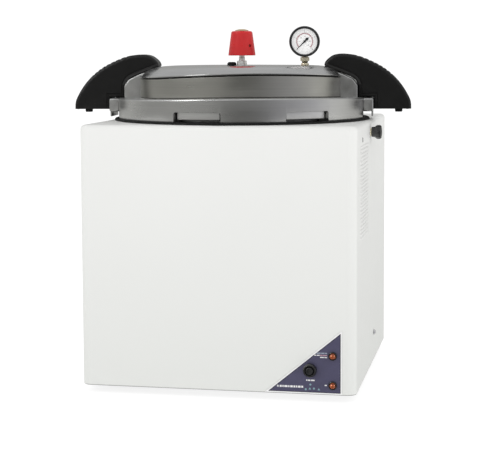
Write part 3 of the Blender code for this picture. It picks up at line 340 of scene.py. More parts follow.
def dial_face():
    # Painted light: a white emission makes the dial read brighter under its lens.
    glow = {"Emission_Color": (1, 1, 1, 1), "Emission_Strength": 0.40}
    face = Finish("dial_enamel", (0.90, 0.90, 0.89), 0.45, **glow)
    face.clouds(150, 3, 0.45, 0.75, (0.87, 0.865, 0.85))
    return face.gloss(400, 2, 0.38, 0.52).grain(1200, 2, 0.000005)


def wool():
    fibre = Finish("mineral_wool", (0.60, 0.55, 0.42), 0.95)
    along = fibre.texture("ShaderNodeMapping", 0, Scale=(900, 900, 160))
    strands = fibre.noise(1, 4, along)
    fibre.tint(fibre.span(strands, 0.3, 0.7), (0.42, 0.38, 0.27))
    fibre.bump(strands, 0.0006)
    return fibre


def ink(name, colour):
    print_ = Finish(name, colour, 0.4).clouds(2500, 2, 0.55, 0.8, [c * 0.7 for c in colour], 0.5)
    return print_.grain(2500, 1, 0.000004).made


def plastics():
    coat, soft = {"Coat_Weight": 0.5}, {"Subsurface_Weight": 0.1}
    red = {"Subsurface_Weight": 0.05, "Specular_IOR_Level": 0.3}
    return {
        "black_plastic": moulded("plastic_black", (0.009, 0.009, 0.010), (0.013, 0.013, 0.014), 0.15, **coat),
        "white_silicone": moulded("silicone_white", (0.74, 0.72, 0.67), (0.66, 0.63, 0.57), 0.55, **soft),
        "red_plastic": moulded("plastic_red", (0.68, 0.028, 0.030), (0.60, 0.022, 0.026), 0.34, **red),
        "cream_plastic": moulded("plastic_cream", (0.52, 0.40, 0.24), (0.44, 0.33, 0.19), 0.42),
    }


SLOTS = {
    "white_powder_coat": powder_coat(),
    "polished_aluminium": turned_aluminium("aluminium_dome", (0.58, 0.58, 0.575), (0.40, 0.40, 0.39), 0.17),
    "stainless_steel": drawn_steel(),
    "zinc_plated_steel": zinc_plate(),
    "chrome": chrome_plate(),
    "brass": aged_brass(),
    "copper": copper_pipe(),
    "black_phenolic": phenolic(),
    "black_rubber": rubber(),
    **plastics(),
    "amber_lens": amber(),
    "clear_lens": clear(),
    "dial_white": dial_face(),
    "panel_slate_blue": painted_panel(),
    "mineral_wool": wool(),
}
FINISHES = {slot: finish.made for slot, finish in SLOTS.items()}
POLISHED = FINISHES["polished_aluminium"]
CAST = cast_aluminium().made
# Painted shade: the band gets a darker base than the dome and the skirt, standing in for the darker
# surroundings it mirrors.
BAND = turned_aluminium("aluminium_band", (0.475, 0.470, 0.437), (0.325, 0.320, 0.295), 0.30).made
SKIRT = turned_aluminium("aluminium_skirt", (0.60, 0.60, 0.59), (0.42, 0.42, 0.41), 0.28).made
GROOVE_SHADE = groove_residue().made
NICKEL = bright_nickel().made
TARNISH = moulded("brass_tarnish", (0.060, 0.048, 0.024), (0.110, 0.090, 0.050), 0.30).made
PHENOLIC_EDGE = moulded("phenolic_edge", (0.020, 0.020, 0.020), (0.027, 0.027, 0.026), 0.45).made
# Painted light: the vessel gets a brighter base than the lid's metal, so its lugs read light in the shade of
# the lid's notches.
VESSEL = turned_aluminium("steel_vessel", (0.80, 0.80, 0.79), (0.60, 0.60, 0.59), 0.34).made
INK_WHITE = ink("ink_white", (0.80, 0.80, 0.80))
INK_BLACK = ink("ink_black", (0.012, 0.012, 0.012))
INK_RED = ink("ink_red", (0.52, 0.10, 0.13))
INK_TEAL = ink("ink_teal", (0.22, 0.36, 0.40))
INK_PINK = ink("ink_pink", (0.50, 0.30, 0.36))
INK_GREY = ink("ink_grey", (0.33, 0.38, 0.46))


# ---------------------------------------------------------------- pieces


def add(name, mesh, finish, matrix=None):
    made = bpy.data.objects.new(name, mesh)
    bpy.context.scene.collection.objects.link(made)
    if matrix is not None:
        made.matrix_world = matrix
    if finish is not None:
        mesh.materials.clear()
        mesh.materials.append(finish)
    return made


def evaluated_mesh(piece):
    bpy.context.view_layer.update()
    return bpy.data.meshes.new_from_object(piece.evaluated_get(bpy.context.evaluated_depsgraph_get()))


def modified(piece, kind, **settings):
    modifier = piece.modifiers.new(kind.lower(), kind)
    for key, value in settings.items():
        setattr(modifier, key, value)
    return piece


def settle(piece):
    """Applies the modifiers."""
    mesh = evaluated_mesh(piece)
    piece.modifiers.clear()
    piece.data = mesh
    return piece


def bevelled(piece, width, segments=2, limit=30):
    """Rounds the edges that turn by more than the limit, in degrees."""
    limits = {"limit_method": "ANGLE", "angle_limit": math.radians(limit)}
    return settle(modified(piece, "BEVEL", width=width, segments=segments, **limits))


def lifted_out(piece):
    """The mesh of a piece that was only needed to make it."""
    mesh = piece.data
    bpy.data.objects.remove(piece)
    return mesh


def shade(piece, angle=35, weighted=False):
    piece.data.shade_smooth()
    piece.data.set_sharp_from_angle(angle=math.radians(angle))
    if weighted:
        modifier = piece.modifiers.new("flat_faces_flat", "WEIGHTED_NORMAL")
        modifier.keep_sharp = True
    return piece


def detail(name, mesh, finish, body, slot, matrix=None, angle=35):
    """A new piece that rides on a body."""
    piece = shade(add(name, mesh, finish, matrix), angle)
    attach(piece, body)


def stand_for(node, piece):
    """A finished piece takes the place of its CAD node."""
    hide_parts(node)
    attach(piece, BODY_OF[node])


def finished(node, mesh, matrix=None, finish=None, angle=35):
    piece = add(f"{node}_finished", mesh, finish or FINISHES[SLOT_OF[node]], matrix)
    stand_for(node, shade(piece, angle))


def mesh_of_bm(bm):
    mesh = bpy.data.meshes.new("mesh")
    bm.to_mesh(mesh)
    bm.free()
    return mesh


def cleaned(mesh, weld, thinnest=None):
    """Welds corners, drops collapsed edges and turns every face outwards."""
    bm = bmesh.new()
    bm.from_mesh(mesh)
    if weld:
        bmesh.ops.remove_doubles(bm, verts=bm.verts, dist=weld)
    if thinnest:
        bmesh.ops.dissolve_degenerate(bm, edges=bm.edges, dist=thinnest)
    bmesh.ops.recalc_face_normals(bm, faces=bm.faces)
    bm.to_mesh(mesh)
    bm.free()
    return mesh


def raw_mesh(corners, faces):
    mesh = bpy.data.meshes.new("mesh")
    mesh.from_pydata(corners, [], faces)
    return mesh


def mesh_from(corners, faces):
    plain = [tuple(float(c) for c in corner) for corner in corners]
    return cleaned(raw_mesh(plain, faces), 0.0000005, 0.0000004)


def soften(corners, cut=0.0005, steps=4, closed=False):
    """Rounds the corners of a profile. A corner is (radius, height) or (radius, height, own cut)."""
    made = []
    last = len(corners) - 1
    for i, corner in enumerate(corners):
        here = Vector(corner[:2])
        if not closed and i in (0, last):
            made.append(tuple(here))
            continue
        before = Vector(corners[i - 1][:2]) - here
        after = Vector(corners[(i + 1) % len(corners)][:2]) - here
        size = corner[2] if len(corner) > 2 else cut
        size = min(size, before.length * 0.45, after.length * 0.45)
        start = here + before.normalized() * size
        end = here + after.normalized() * size
        for k in range(steps + 1):
            t = k / steps
            made.append(tuple(start * (1 - t) ** 2 + here * 2 * t * (1 - t) + end * t * t))
    return made


def band_faces(first, second, count):
    """Faces between two closed rings of corners that begin at the given places."""
    ends = [(k, (k + 1) % count) for k in range(count)]
    return [(first + k, first + n, second + n, second + k) for k, n in ends]


def skin(rows, closed_profile=False):
    """A surface through rows of points, one row per turn. It closes on itself round the axis."""
    turns, points = len(rows), len(rows[0])
    faces = []
    for i in range(turns):
        here, there = i * points, (i + 1) % turns * points
        for k in range(points if closed_profile else points - 1):
            n = (k + 1) % points
            faces.append((here + k, there + k, there + n, here + n))
    return mesh_from([p for row in rows for p in row], faces)


def held(value):
    """Between 0 and 1."""
    return max(0.0, min(1.0, value))


def round_axis(radius, turn, z):
    return radius * math.cos(turn), radius * math.sin(turn), z


def lathe(profile, sides=96, closed=False):
    turns = [2 * math.pi * i / sides for i in range(sides)]
    return skin([[round_axis(r, turn, z) for r, z in profile] for turn in turns], closed)


def turned(profile, sides=96, cut=0.0005, steps=4, closed=False):
    """A turned piece with rounded corners."""
    return lathe(soften(profile, cut, steps, closed), sides, closed)


def block(low, high, bevel=0.0, segments=4):
    """An upright box between two corners, with rounded edges."""
    bm = bmesh.new()
    bmesh.ops.create_cube(bm, size=1)
    low, high = Vector(low), Vector(high)
    bmesh.ops.scale(bm, vec=high - low, verts=bm.verts)
    if bevel:
        bmesh.ops.bevel(bm, geom=bm.edges[:], offset=bevel, segments=segments, profile=0.5, affect="EDGES")
    bmesh.ops.translate(bm, vec=(low + high) / 2, verts=bm.verts)
    return mesh_of_bm(bm)


def sided_block(side, across, half_width, height, bevel, segments):
    """A block that reaches across from x to x on one side of the axis."""
    near, far = sorted(side * x for x in across)
    return block((near, -half_width, height[0]), (far, half_width, height[1]), bevel, segments)


def cylinder(radius, length, sides=48):
    """From the origin along Z."""
    bm = bmesh.new()
    bmesh.ops.create_cone(bm, cap_ends=True, segments=sides, radius1=radius, radius2=radius, depth=length)
    bmesh.ops.translate(bm, vec=(0, 0, length / 2), verts=bm.verts)
    return mesh_of_bm(bm)


def joined(meshes):
    """One mesh out of several (mesh, matrix) pairs."""
    bm = bmesh.new()
    for mesh, matrix in meshes:
        part = mesh.copy()
        part.transform(matrix)
        bm.from_mesh(part)
        bpy.data.meshes.remove(part)
    return mesh_of_bm(bm)


def combine(piece, operation, tools):
    """Cuts or adds (mesh, matrix) tools, which share the piece's own axes."""
    helpers = [add("tool", mesh, None, piece.matrix_world @ matrix) for mesh, matrix in tools]
    for helper in helpers:
        modified(piece, "BOOLEAN", operation=operation, object=helper)
    settle(piece)
    for helper in helpers:
        bpy.data.objects.remove(helper)


def facing(place, direction):
    return Matrix.Translation(place) @ Vector(direction).to_track_quat("Z", "Y").to_matrix().to_4x4()


def mesh_of(curve):
    holder = add("curve", curve, None)
    mesh = evaluated_mesh(holder)
    bpy.data.objects.remove(holder)
    return cleaned(mesh, 0.000005)


def outline_mesh(corners, thickness):
    """A flat, straight-sided shape in XY, centred on Z."""
    curve = bpy.data.curves.new("outline", "CURVE")
    curve.dimensions = "2D"
    curve.fill_mode = "BOTH"
    curve.extrude = thickness / 2
    curve.resolution_u = 1
    spline = curve.splines.new("BEZIER")
    spline.bezier_points.add(len(corners) - 1)
    spline.use_cyclic_u = True
    for point, (x, y) in zip(spline.bezier_points, corners):
        point.co = (x, y, 0)
        point.handle_left_type = point.handle_right_type = "VECTOR"
    return mesh_of(curve)


def wire_mesh(points, radius):
    curve = bpy.data.curves.new("wire", "CURVE")
    curve.dimensions = "3D"
    curve.bevel_depth = radius
    curve.bevel_resolution = 5
    curve.use_fill_caps = True
    spline = curve.splines.new("POLY")
    spline.points.add(len(points) - 1)
    for point, place in zip(spline.points, points):
        point.co = (*place, 1)
    return mesh_of(curve)


def smooth_line(points, steps=6):
    """A Catmull-Rom line through points."""
    ends = [points[0], *points, points[-1]]
    made = []
    for span in zip(ends, ends[1:], ends[2:], ends[3:]):
        a, b, c, d = (np.array(p, float) for p in span)
        square, cube = 2 * a - 5 * b + 4 * c - d, 3 * b - a - 3 * c + d
        for k in range(steps):
            t = k / steps
            made.append(0.5 * (2 * b + (c - a) * t + square * t**2 + cube * t**3))
    made.append(np.array(points[-1], float))
    return [tuple(float(v) for v in p) for p in made]


# ---------------------------------------------------------------- cabinet

LAMPS = {"power_lamp": (0.1507, 0.0230), "heating_lamp": (0.1507, 0.0606)}
BREAKER = (0.1219, 0.0418)
FRONT_HOLES = [(*BREAKER, 0.0068)] + [(x, z, 0.0043) for x, z in LAMPS.values()]  # x, z, radius
VALVE = (-0.018, 0.334)
VALVE_HOLE = 0.0058
MOUTH_R = 0.152
LOUVRES, LOUVRE_PITCH, LOUVRE_H, LOUVRE_L = 25, 0.0049, 0.0022, 0.096
LOUVRE_Y, LOUVRE_Z = -0.092, 0.2035
LOUVRE_LEVELS = [LOUVRE_Z + i * LOUVRE_PITCH for i in range(LOUVRES)]
SHADE_MARK = (-0.113, 0.3262)
SIDE_SCREW = (0.029, 0.051)
INLET = (-0.115, 0.050)


def nodes_called(start):
    return sorted(n for n in frame["nodes"] if n.startswith(start))


def make_shell():
    """The folded sheet, with finer bends than its CAD node and rounded folds below and behind."""
    bm = bmesh.new()
    bmesh.ops.create_cube(bm, size=1)
    size = SHELL_HIGH - SHELL_LOW
    middle = (SHELL_HIGH + SHELL_LOW) / 2
    bmesh.ops.scale(bm, vec=size, verts=bm.verts)
    for direction in (Vector(TO_BACK), Vector((0, 0, -1))):
        face = next(f for f in bm.faces if f.normal.dot(direction) > 0.99 and f.calc_area() > 0.1)
        bmesh.ops.inset_region(bm, faces=[face], thickness=0.016)
        bmesh.ops.delete(bm, geom=[face], context="FACES")

    def is_corner(e):
        m = (e.verts[0].co + e.verts[1].co) / 2
        return abs(abs(m.x) - size.x / 2) < 1e-5 and abs(m.y + size.y / 2) < 1e-5 and abs(m.z) < 1e-5

    def is_fold(e, axis, value):
        on_plane = all(abs(v.co[axis] - value) < 1e-5 for v in e.verts)
        return on_plane and len(e.link_faces) == 2 and e.calc_face_angle(0) > 1.0

    for test, radius, segments in (
        (is_corner, 0.012, 10),
        (lambda e: is_fold(e, 2, size.z / 2) and not is_fold(e, 1, size.y / 2), 0.006, 6),
        (lambda e: is_fold(e, 2, -size.z / 2), 0.0016, 4),
    ):
        edges = [e for e in bm.edges if test(e)]
        bmesh.ops.bevel(bm, geom=edges, offset=radius, segments=segments, profile=0.5, affect="EDGES")
    mesh = mesh_of_bm(bm)
    shell = add("cabinet_shell_finished", mesh, FINISHES["white_powder_coat"], Matrix.Translation(middle))
    settle(modified(shell, "SOLIDIFY", thickness=SHEET, offset=-1, use_even_offset=True))
    back = Matrix.Translation(-middle)
    tools = [(cylinder(MOUTH_R, 0.02, 128), back @ Matrix.Translation((0, 0, TOP - 0.010)))]
    reach, tall = LOUVRE_L / 2 - 0.002, LOUVRE_H / 2
    for z in LOUVRE_LEVELS:
        low, high = (SIDE - 0.006, LOUVRE_Y - reach, z - tall), (SIDE + 0.006, LOUVRE_Y + reach, z + tall)
        tools.append((block(low, high), back))
    for x, z, radius in FRONT_HOLES:
        tools.append((cylinder(radius, 0.01), back @ facing((x, FRONT + 0.005, z), TO_FRONT)))
    tools.append((cylinder(VALVE_HOLE, 0.01), back @ facing((SIDE - 0.005, *VALVE), (1, 0, 0))))
    combine(shell, "DIFFERENCE", tools)
    stand_for("cabinet_shell", shade(shell, 40, weighted=True))


def make_louvres():
    """Each slot is covered by a pressed hood, open below and drawn in at its ends."""
    across = 20
    section = [(0.0, 0.0012), (0.00055, 0.0010), (0.0011, 0.0003), (0.00145, -0.0007), (0.0016, -0.0017)]
    section += [(0.0010, -0.0017), (0.0008, -0.0007), (0.0003, 0.0004)]
    n = len(section)
    corners, faces = [], []
    for z in LOUVRE_LEVELS:
        first = len(corners)
        for k in range(across + 1):
            share = k / across
            spread = 0.5 - 0.5 * math.cos(math.pi * share)
            y = LOUVRE_Y + (spread - 0.5) * LOUVRE_L
            rise = min(1.0, (min(share, 1 - share) * across / 5) ** 0.6)
            for out, up in section:
                drop = up if up > 0 else up * (0.25 + 0.75 * rise)
                corners.append((SIDE - 0.0002 + max(out * rise, 0.0), y, z + drop))
        for k in range(across):
            faces += band_faces(first + k * n, first + (k + 1) * n, n)
        faces.append(tuple(first + m for m in range(n)))
        faces.append(tuple(first + across * n + m for m in reversed(range(n))))
    mesh = cleaned(raw_mesh(corners, faces), None)
    detail("louvre_hoods", mesh, FINISHES["white_powder_coat"], "cabinet", "white_powder_coat", angle=50)


def make_side_insert():
    """Painted shade: a small black sliver above the louvres, standing in for the dark mark of shade there."""
    corners = [(-0.0006, 0.0), (0.0006, 0.0), (0.0006, 0.0060), (-0.0006, 0.0060)]
    mesh = outline_mesh(corners, 0.0006)
    place = Matrix.Translation((SIDE + 0.0003, *SHADE_MARK)) @ Matrix.Rotation(math.pi / 2, 4, "Z") @ TURN_X
    detail("side_shade_mark", mesh, FINISHES["black_plastic"], "cabinet", "black_plastic", place)


def screw_mesh(head_r, head_h, shank_r=0.0015, shank_l=0.006):
    """A domed head with a cross recess, and its shank."""
    dome = [(0, head_h), (head_r * 0.45, head_h * 0.93, 0.0004), (head_r * 0.82, head_h * 0.60, 0.0005)]
    dome += [(head_r, head_h * 0.16, 0.0003), (head_r, GAP, 0.0001), (shank_r, GAP), (shank_r, -shank_l)]
    dome += [(0, -shank_l)]
    piece = add("screw", turned(dome, 48, 0.0003, 3), None)
    arm, width, low = head_r * 0.52, head_r * 0.13, head_h * 0.38
    tools = []
    for turn in (0, math.pi / 2):
        tool = block((-arm, -width, low), (arm, width, head_h * 2))
        tools.append((tool, Matrix.Rotation(turn, 4, "Z")))
    combine(piece, "DIFFERENCE", tools)
    return lifted_out(piece)


def make_screws():
    for name, side in (("side_screw_left", -1), ("side_screw_right", 1)):
        place = facing((side * SIDE, *SIDE_SCREW), (side, 0, 0)) @ Matrix.Rotation(0.5, 4, "Z")
        finished(name, screw_mesh(0.00375, 0.0035), place)
    turn = 0.2
    for name in nodes_called("back_screw"):
        low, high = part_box(name)
        middle = (low + high) / 2
        place = facing((middle.x, BACK + GAP + SHEET, middle.z), TO_BACK) @ Matrix.Rotation(turn, 4, "Z")
        finished(name, screw_mesh(0.0035, 0.0024), place)
        turn += 0.7


def make_feet():
    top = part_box("foot_front_left")[1].z
    profile = [(0, top), (0.0130, top, 0.0004), (0.0150, 0.0040, 0.0012), (0.0136, 0, 0.0010)]
    profile += [(0.0060, 0, 0.0003), (0.0050, 0.0012, 0.0003), (0, 0.0012)]
    for name in nodes_called("foot_"):
        low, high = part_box(name)
        place = Matrix.Translation(((low.x + high.x) / 2, (low.y + high.y) / 2, 0))
        finished(name, turned(profile, 64), place)


def make_trim():
    floor, top, under = TOP + GAP, TOP + 0.0034, TOP + 0.0013
    profile = [(0.1742, top, 0.0008), (0.1758, top - 0.0012, 0.0008), (0.1760, floor, 0.0003)]
    profile += [(0.1350, floor, 0.0003), (0.1350, under, 0.0003), (0.1712, under, 0.0004)]
    profile += [(0.1722, top - 0.0006, 0.0005)]
    finished("trim_ring", turned(profile, 192, closed=True))


def make_panel():
    """The printed plate, with a thin white border under it."""
    face, thickness = FRONT - GAP, 0.0005
    low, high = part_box("control_panel")
    slope = math.atan2(high.z - low.z, high.x - low.x)

    def plate(name, grow, front):
        reach = grow / math.tan(slope / 2)
        rise = grow / math.tan((math.pi / 2 - slope) / 2)
        right, bottom = high.x + grow, low.z - grow
        corners = [(right, bottom), (right, high.z + rise), (low.x - reach, bottom)]
        place = Matrix.Translation((0, front + thickness / 2, 0)) @ TURN_X
        piece = bevelled(add(name, outline_mesh(corners, thickness), None, place), 0.00015)
        back = piece.matrix_world.inverted()
        tools = []
        for x, z, radius in FRONT_HOLES:
            tools.append((cylinder(radius, 0.02), back @ facing((x, face + 0.010, z), TO_FRONT)))
        combine(piece, "DIFFERENCE", tools)
        piece.data.materials.clear()
        return piece

    border = plate("panel_border", 0.0016, face - 0.0006)
    panel = plate("control_panel_finished", 0.0, face - 0.0010)
    panel.data.materials.append(FINISHES["panel_slate_blue"])
    border.data.materials.append(ink("border_white", (0.90, 0.90, 0.90)))
    stand_for("control_panel", shade(panel, 30))
    shade(border, 30)
    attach(border, "cabinet")
    return face - 0.0010


def make_print(face):
    """Generic marks in place of the panel's words: bars, and plain figures along the bottom."""
    depth, sunk = 0.00012, face + 0.0001

    def bar(x0, x1, z0, z1):
        return block((x0, face - depth, z0), (x1, sunk, z1), 0.00004, 1), HERE

    def row(x0, x1, z0, z1, widths, space=0.0007):
        """A line of small bars that fill a width."""
        unit = (x1 - x0 - space * (len(widths) - 1)) / sum(widths)
        made, x = [], x0
        for width in widths:
            made.append(bar(x, x + width * unit, z0, z1))
            x += width * unit + space
        return made

    white = row(0.0830, 0.1130, 0.0187, 0.0212, (3, 2, 5, 2, 4, 3, 2, 4, 3), 0.0009)
    white += [bar(0.0795, 0.0806, 0.0187, 0.0212), bar(0.0812, 0.0819, 0.0187, 0.0212)]
    white += row(0.1168, 0.1276, 0.0278, 0.0296, (1, 2, 3))
    white += [bar(0.1404, 0.1432, 0.0222, 0.0236)]
    white += row(0.1272, 0.1340, 0.0606, 0.0618, (2, 3))
    white += row(0.1345, 0.1434, 0.0580, 0.0592, (3, 2))
    grey = row(0.1300, 0.1434, 0.0632, 0.0646, (4, 3, 2))
    pink = row(0.1345, 0.1434, 0.0606, 0.0618, (2, 3))
    figures = [(0.1163, 0.0170, 24), (0.1215, 0.0178, 3), (0.1268, 0.0182, 24), (0.1330, 0.0172, 3)]
    figures += [(0.1222, 0.0232, 24)]
    teal = []
    for x, z, sides in figures:
        mark = cylinder(0.0019 if sides == 3 else 0.0013, depth + 0.0001, sides)
        teal.append((mark, facing((x, sunk, z), TO_FRONT)))
    prints = {"white": (white, INK_WHITE), "grey": (grey, INK_GREY)}
    prints |= {"pink": (pink, INK_PINK), "teal": (teal, INK_TEAL)}
    for name, (meshes, finish) in prints.items():
        detail(f"print_{name}", joined(meshes), finish, "cabinet", "panel_slate_blue", angle=20)


def make_lamps(face):
    rim, sides, fit = 0.0026, 9, 0.97
    profile = [(0, -0.0010), (0.0036, -0.0010, 0.0001), (0.0044, rim, 0.0003), (0.0055, rim - 0.0006, 0.0006)]
    profile += [(0.0055, 0.0001, 0.0001), (0.0039, 0.0001, 0.0001), (0.0039, -0.0180), (0, -0.0180)]
    # radius, height, turn in sides
    rings = [(0.00405, 0.0018, 0.0), (0.00395, 0.0030, 0.5), (0.0030, 0.0046, 0.0), (0.0016, 0.0056, 0.5)]
    rings += [(0.0042, -0.0004, 0.5)]
    for name, (x, z) in LAMPS.items():
        front = facing((x, face, z), TO_FRONT)
        finished(f"{name}_bezel", turned(profile, 72, 0.0002), front)
        bm = bmesh.new()
        for radius, height, offset in rings:
            for k in range(sides):
                bm.verts.new(round_axis(radius * fit, 2 * math.pi * (k + offset) / sides, height))
        bmesh.ops.convex_hull(bm, input=bm.verts)
        finished(f"{name}_lens", mesh_of_bm(bm), front, angle=5)


def make_breaker(face):
    front = facing((BREAKER[0], face, BREAKER[1]), TO_FRONT)
    high = 0.0068
    profile = [(0, -0.0060), (0.0052, -0.0060, 0.0002), (0.0052, high - 0.0012, 0.0003)]
    profile += [(0.0061, high, 0.0005), (0.0074, high, 0.0010), (0.00885, high - 0.0022, 0.0012)]
    profile += [(0.00885, 0.0001, 0.0002), (0.0065, 0.0001), (0.0065, -0.0300), (0, -0.0300)]
    finished("breaker_collar", turned(profile, 128, 0.0003, 6), front)
    length = 0.0088
    profile = [(0, length - 0.0004), (0.0026, length - 0.0003, 0.0004), (0.0033, length, 0.0003)]
    profile += [(0.0041, length, 0.0005), (0.0047, length - 0.0009, 0.0004), (0.0047, -0.0020, 0.0001)]
    profile += [(0, -0.0020)]
    place = facing((BREAKER[0], FRONT - GAP - 0.0008, BREAKER[1]), TO_FRONT)
    finished("breaker_button", turned(profile, 96, 0.0003, 5), place)


def make_valve():
    """The exhaust knob, fluted round its wide part."""
    base, tip, sides, flutes = 0.0018, 0.0150, 144, 12
    profile = [(0, tip - 0.0006), (0.0050, tip - 0.0006, 0.0003), (0.0056, tip, 0.0003)]
    profile += [(0.0080, tip, 0.0008), (0.0095, tip - 0.0016, 0.0008), (0.0095, tip - 0.0062, 0.0010)]
    profile += [(0.0070, tip - 0.0092, 0.0012), (0.0069, base, 0.0004), (0.0034, base, 0.0002)]
    profile += [(0.0034, 0.0049), (0, 0.0049)]
    profile = soften(profile, 0.0004)
    rows = []
    for i in range(sides):
        turn = 2 * math.pi * i / sides
        row = []
        for r, h in profile:
            share = held((r - 0.0078) / 0.0012) * held((h - 0.0070) / 0.0012)
            flute = r * (1 - 0.045 * share * (0.5 + 0.5 * math.cos(flutes * turn)) ** 2)
            row.append(round_axis(flute, turn, h))
        rows.append(row)
    finished("exhaust_valve_knob", skin(rows), facing((SIDE, *VALVE), (1, 0, 0)), angle=50)


def make_rear():
    """The exhaust union with its hose barbs, and metal pins in the inlet."""
    face = BACK + GAP + SHEET + GAP
    low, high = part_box("exhaust_outlet")
    tip = high.y - face
    profile = [(0.0040, -0.0120), (0.0040, -0.0090), (0.0026, -0.0090), (0.0026, tip, 0.0002)]
    profile += [(0.0040, tip, 0.0003)]
    for i in range(2):
        step = tip - 0.0022 - i * 0.0020
        profile += [(0.0050, step, 0.0002), (0.0042, step - 0.0002, 0.0001)]
    profile += [(0.0042, 0.0030, 0.0003), (0.0090, 0.0030, 0.0006), (0.0090, 0.0, 0.0004), (0.0060, 0.0)]
    profile += [(0.0060, -0.0120)]
    place = facing(((low.x + high.x) / 2, face, (low.z + high.z) / 2), TO_BACK)
    finished("exhaust_outlet", turned(profile, 64, 0.0002, closed=True), place)
    pins = []
    for dx, dz in ((-0.007, 0.002), (0.007, 0.002), (0, -0.002)):
        low = (INLET[0] + dx - 0.00105, face - 0.0140, INLET[1] + dz - 0.00205)
        high = (low[0] + 0.0021, face - 0.0029, low[2] + 0.0041)
        pins.append((block(low, high, 0.0004, 2), HERE))
    detail("inlet_pins", joined(pins), FINISHES["brass"], "cabinet", "brass")


# ---------------------------------------------------------------- vessel and basket


def off_by(turn, other):
    """The angle between two turns."""
    return abs((turn - other + math.pi) % (2 * math.pi) - math.pi)


def turns_with(marks, fine, count):
    """Even turns round the axis, with fine steps, given as offsets, about each marked one."""
    special = [(m + f) % (2 * math.pi) for m in marks for f in fine]
    clear_of = max(abs(f) for f in fine) + math.radians(0.2)
    even = [2 * math.pi * i / count for i in range(count)]
    return sorted(special + [turn for turn in even if min(off_by(turn, m) for m in marks) > clear_of])


def inside(turn, centres, half):
    """How far, as an angle, a turn lies inside the nearest sector. Negative outside."""
    return half - min(off_by(turn, c) for c in centres)


def quarter(centre, radius, start, step):
    """Seven points of a bend in a profile."""
    made = []
    for k in range(7):
        a = math.radians(start + step * k)
        made.append((centre[0] + radius * math.cos(a), centre[1] + radius * math.sin(a), 0.0001))
    return made


def make_vessel():
    rim_r, rim_top, rim_low = 0.150, TOP + 0.020, TOP + 0.0018
    lug_r, lug_h, rim_h = 0.1641, 0.0142, 0.0040
    floor, wall, bend, bore = 0.062, 0.003, 0.015, 0.130
    centres = [n + LID_YAW - math.pi / 2 for n in NOTCHES]
    half = math.radians(10.6)
    marks = [c + s * half for c in centres for s in (-1, 1)]
    fine = [math.radians(f) for f in (-0.9, -0.5, -0.2, -0.05, 0.0, 0.05, 0.2, 0.5, 0.9)]
    corner = (bore - bend, floor + bend)
    rows = []
    for turn in turns_with(marks, fine, 180):
        depth = inside(turn, centres, half) * lug_r
        share = held(0.5 + depth / 0.0030)
        share = math.sqrt(max(0.0, 1 - (1 - share) ** 2)) if depth > -0.0005 else 0.0
        outer = rim_r + 0.0003 + (lug_r - rim_r) * share
        under = rim_top - (lug_h if share > 0 else rim_h)
        profile = [(0, floor), *quarter(corner, bend, -90, 15)]
        profile += [(bore, rim_top, 0.0012), (outer, rim_top, 0.0010), (outer, under, 0.0008)]
        profile += [(rim_r, under - 0.0002, 0.0003), (rim_r, rim_low, 0.0005), (bore + wall, rim_low, 0.0005)]
        profile += [*quarter(corner, bend + wall, 0, -15), (0, floor - wall)]
        rows.append([round_axis(r, turn, z) for r, z in soften(profile, 0.0003, 3)])
    finished("vessel", skin(rows), finish=VESSEL)


def make_basket():
    """Perforated sheet between a plain foot and a rolled rim."""
    radius, floor, rim = 0.118, 0.0858, 0.266
    cells, levels, hole_r = 72, 20, 0.0024
    low, high = 0.100, 0.252
    count = 2 * cells
    corners, faces = [(0, 0, floor + 0.0004)], []

    def ring(r, z):
        first = len(corners)
        corners.extend(round_axis(r, 2 * math.pi * k / count, z) for k in range(count))
        return first

    foot = [(0.030, 0.0004), (0.090, 0.0004), (0.094, 0.0012), (0.112, 0.0012), (0.1155, 0.0022)]
    foot += [(0.1172, 0.0048)]
    rings = [ring(r, floor + z) for r, z in foot] + [ring(radius, floor + 0.0080), ring(radius, low)]
    faces += [(0, rings[0] + k, rings[0] + (k + 1) % count) for k in range(count)]
    for a, b in zip(rings, rings[1:]):
        faces += band_faces(a, b, count)
    bottom = rings[-1]
    step = (high - low) / levels
    for level in range(levels):
        z = low + level * step
        middle = ring(radius, z + step / 2)
        top = ring(radius, z + step)
        for cell in range(cells):
            a, b, c = 2 * cell, 2 * cell + 1, (2 * cell + 2) % count
            edge = [bottom + a, bottom + b, bottom + c, middle + c, top + c, top + b, top + a, middle + a]
            first = len(corners)
            for k in range(8):
                spin = math.pi * (-0.75 + 0.25 * k)
                along = 2 * math.pi * b / count + math.cos(spin) * hole_r / radius
                corners.append(round_axis(radius, along, z + step / 2 + math.sin(spin) * hole_r))
                n = (k + 1) % 8
                faces.append((edge[k], edge[n], first + n, first + k))
        bottom = top
    faces += band_faces(bottom, ring(radius, rim - 0.003), count)
    mesh = raw_mesh(corners, faces)
    bm = bmesh.new()
    bm.from_mesh(mesh)
    bmesh.ops.delete(bm, geom=[v for v in bm.verts if not v.link_faces], context="VERTS")
    bmesh.ops.recalc_face_normals(bm, faces=bm.faces)
    bm.to_mesh(mesh)
    bm.free()
    basket = add("basket_finished", mesh, FINISHES["stainless_steel"])
    settle(modified(basket, "SOLIDIFY", thickness=0.0009, offset=-1))
    stand_for("basket", shade(basket, 40))
    wire = 0.0016
    turns = np.linspace(0, 2 * math.pi, 16, endpoint=False)
    bead = [(0.1189 + wire * math.cos(a), rim - 0.0017 + wire * math.sin(a)) for a in turns]
    parts = [(lathe(bead, 144, closed=True), HERE)]
    ear = (rim - 0.006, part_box("basket")[1].z)
    parts += [(sided_block(side, (0.1183, 0.1203), 0.007, ear, 0.0006, 3), HERE) for side in (-1, 1)]
    detail("basket_rim", joined(parts), FINISHES["stainless_steel"], "basket", "stainless_steel")


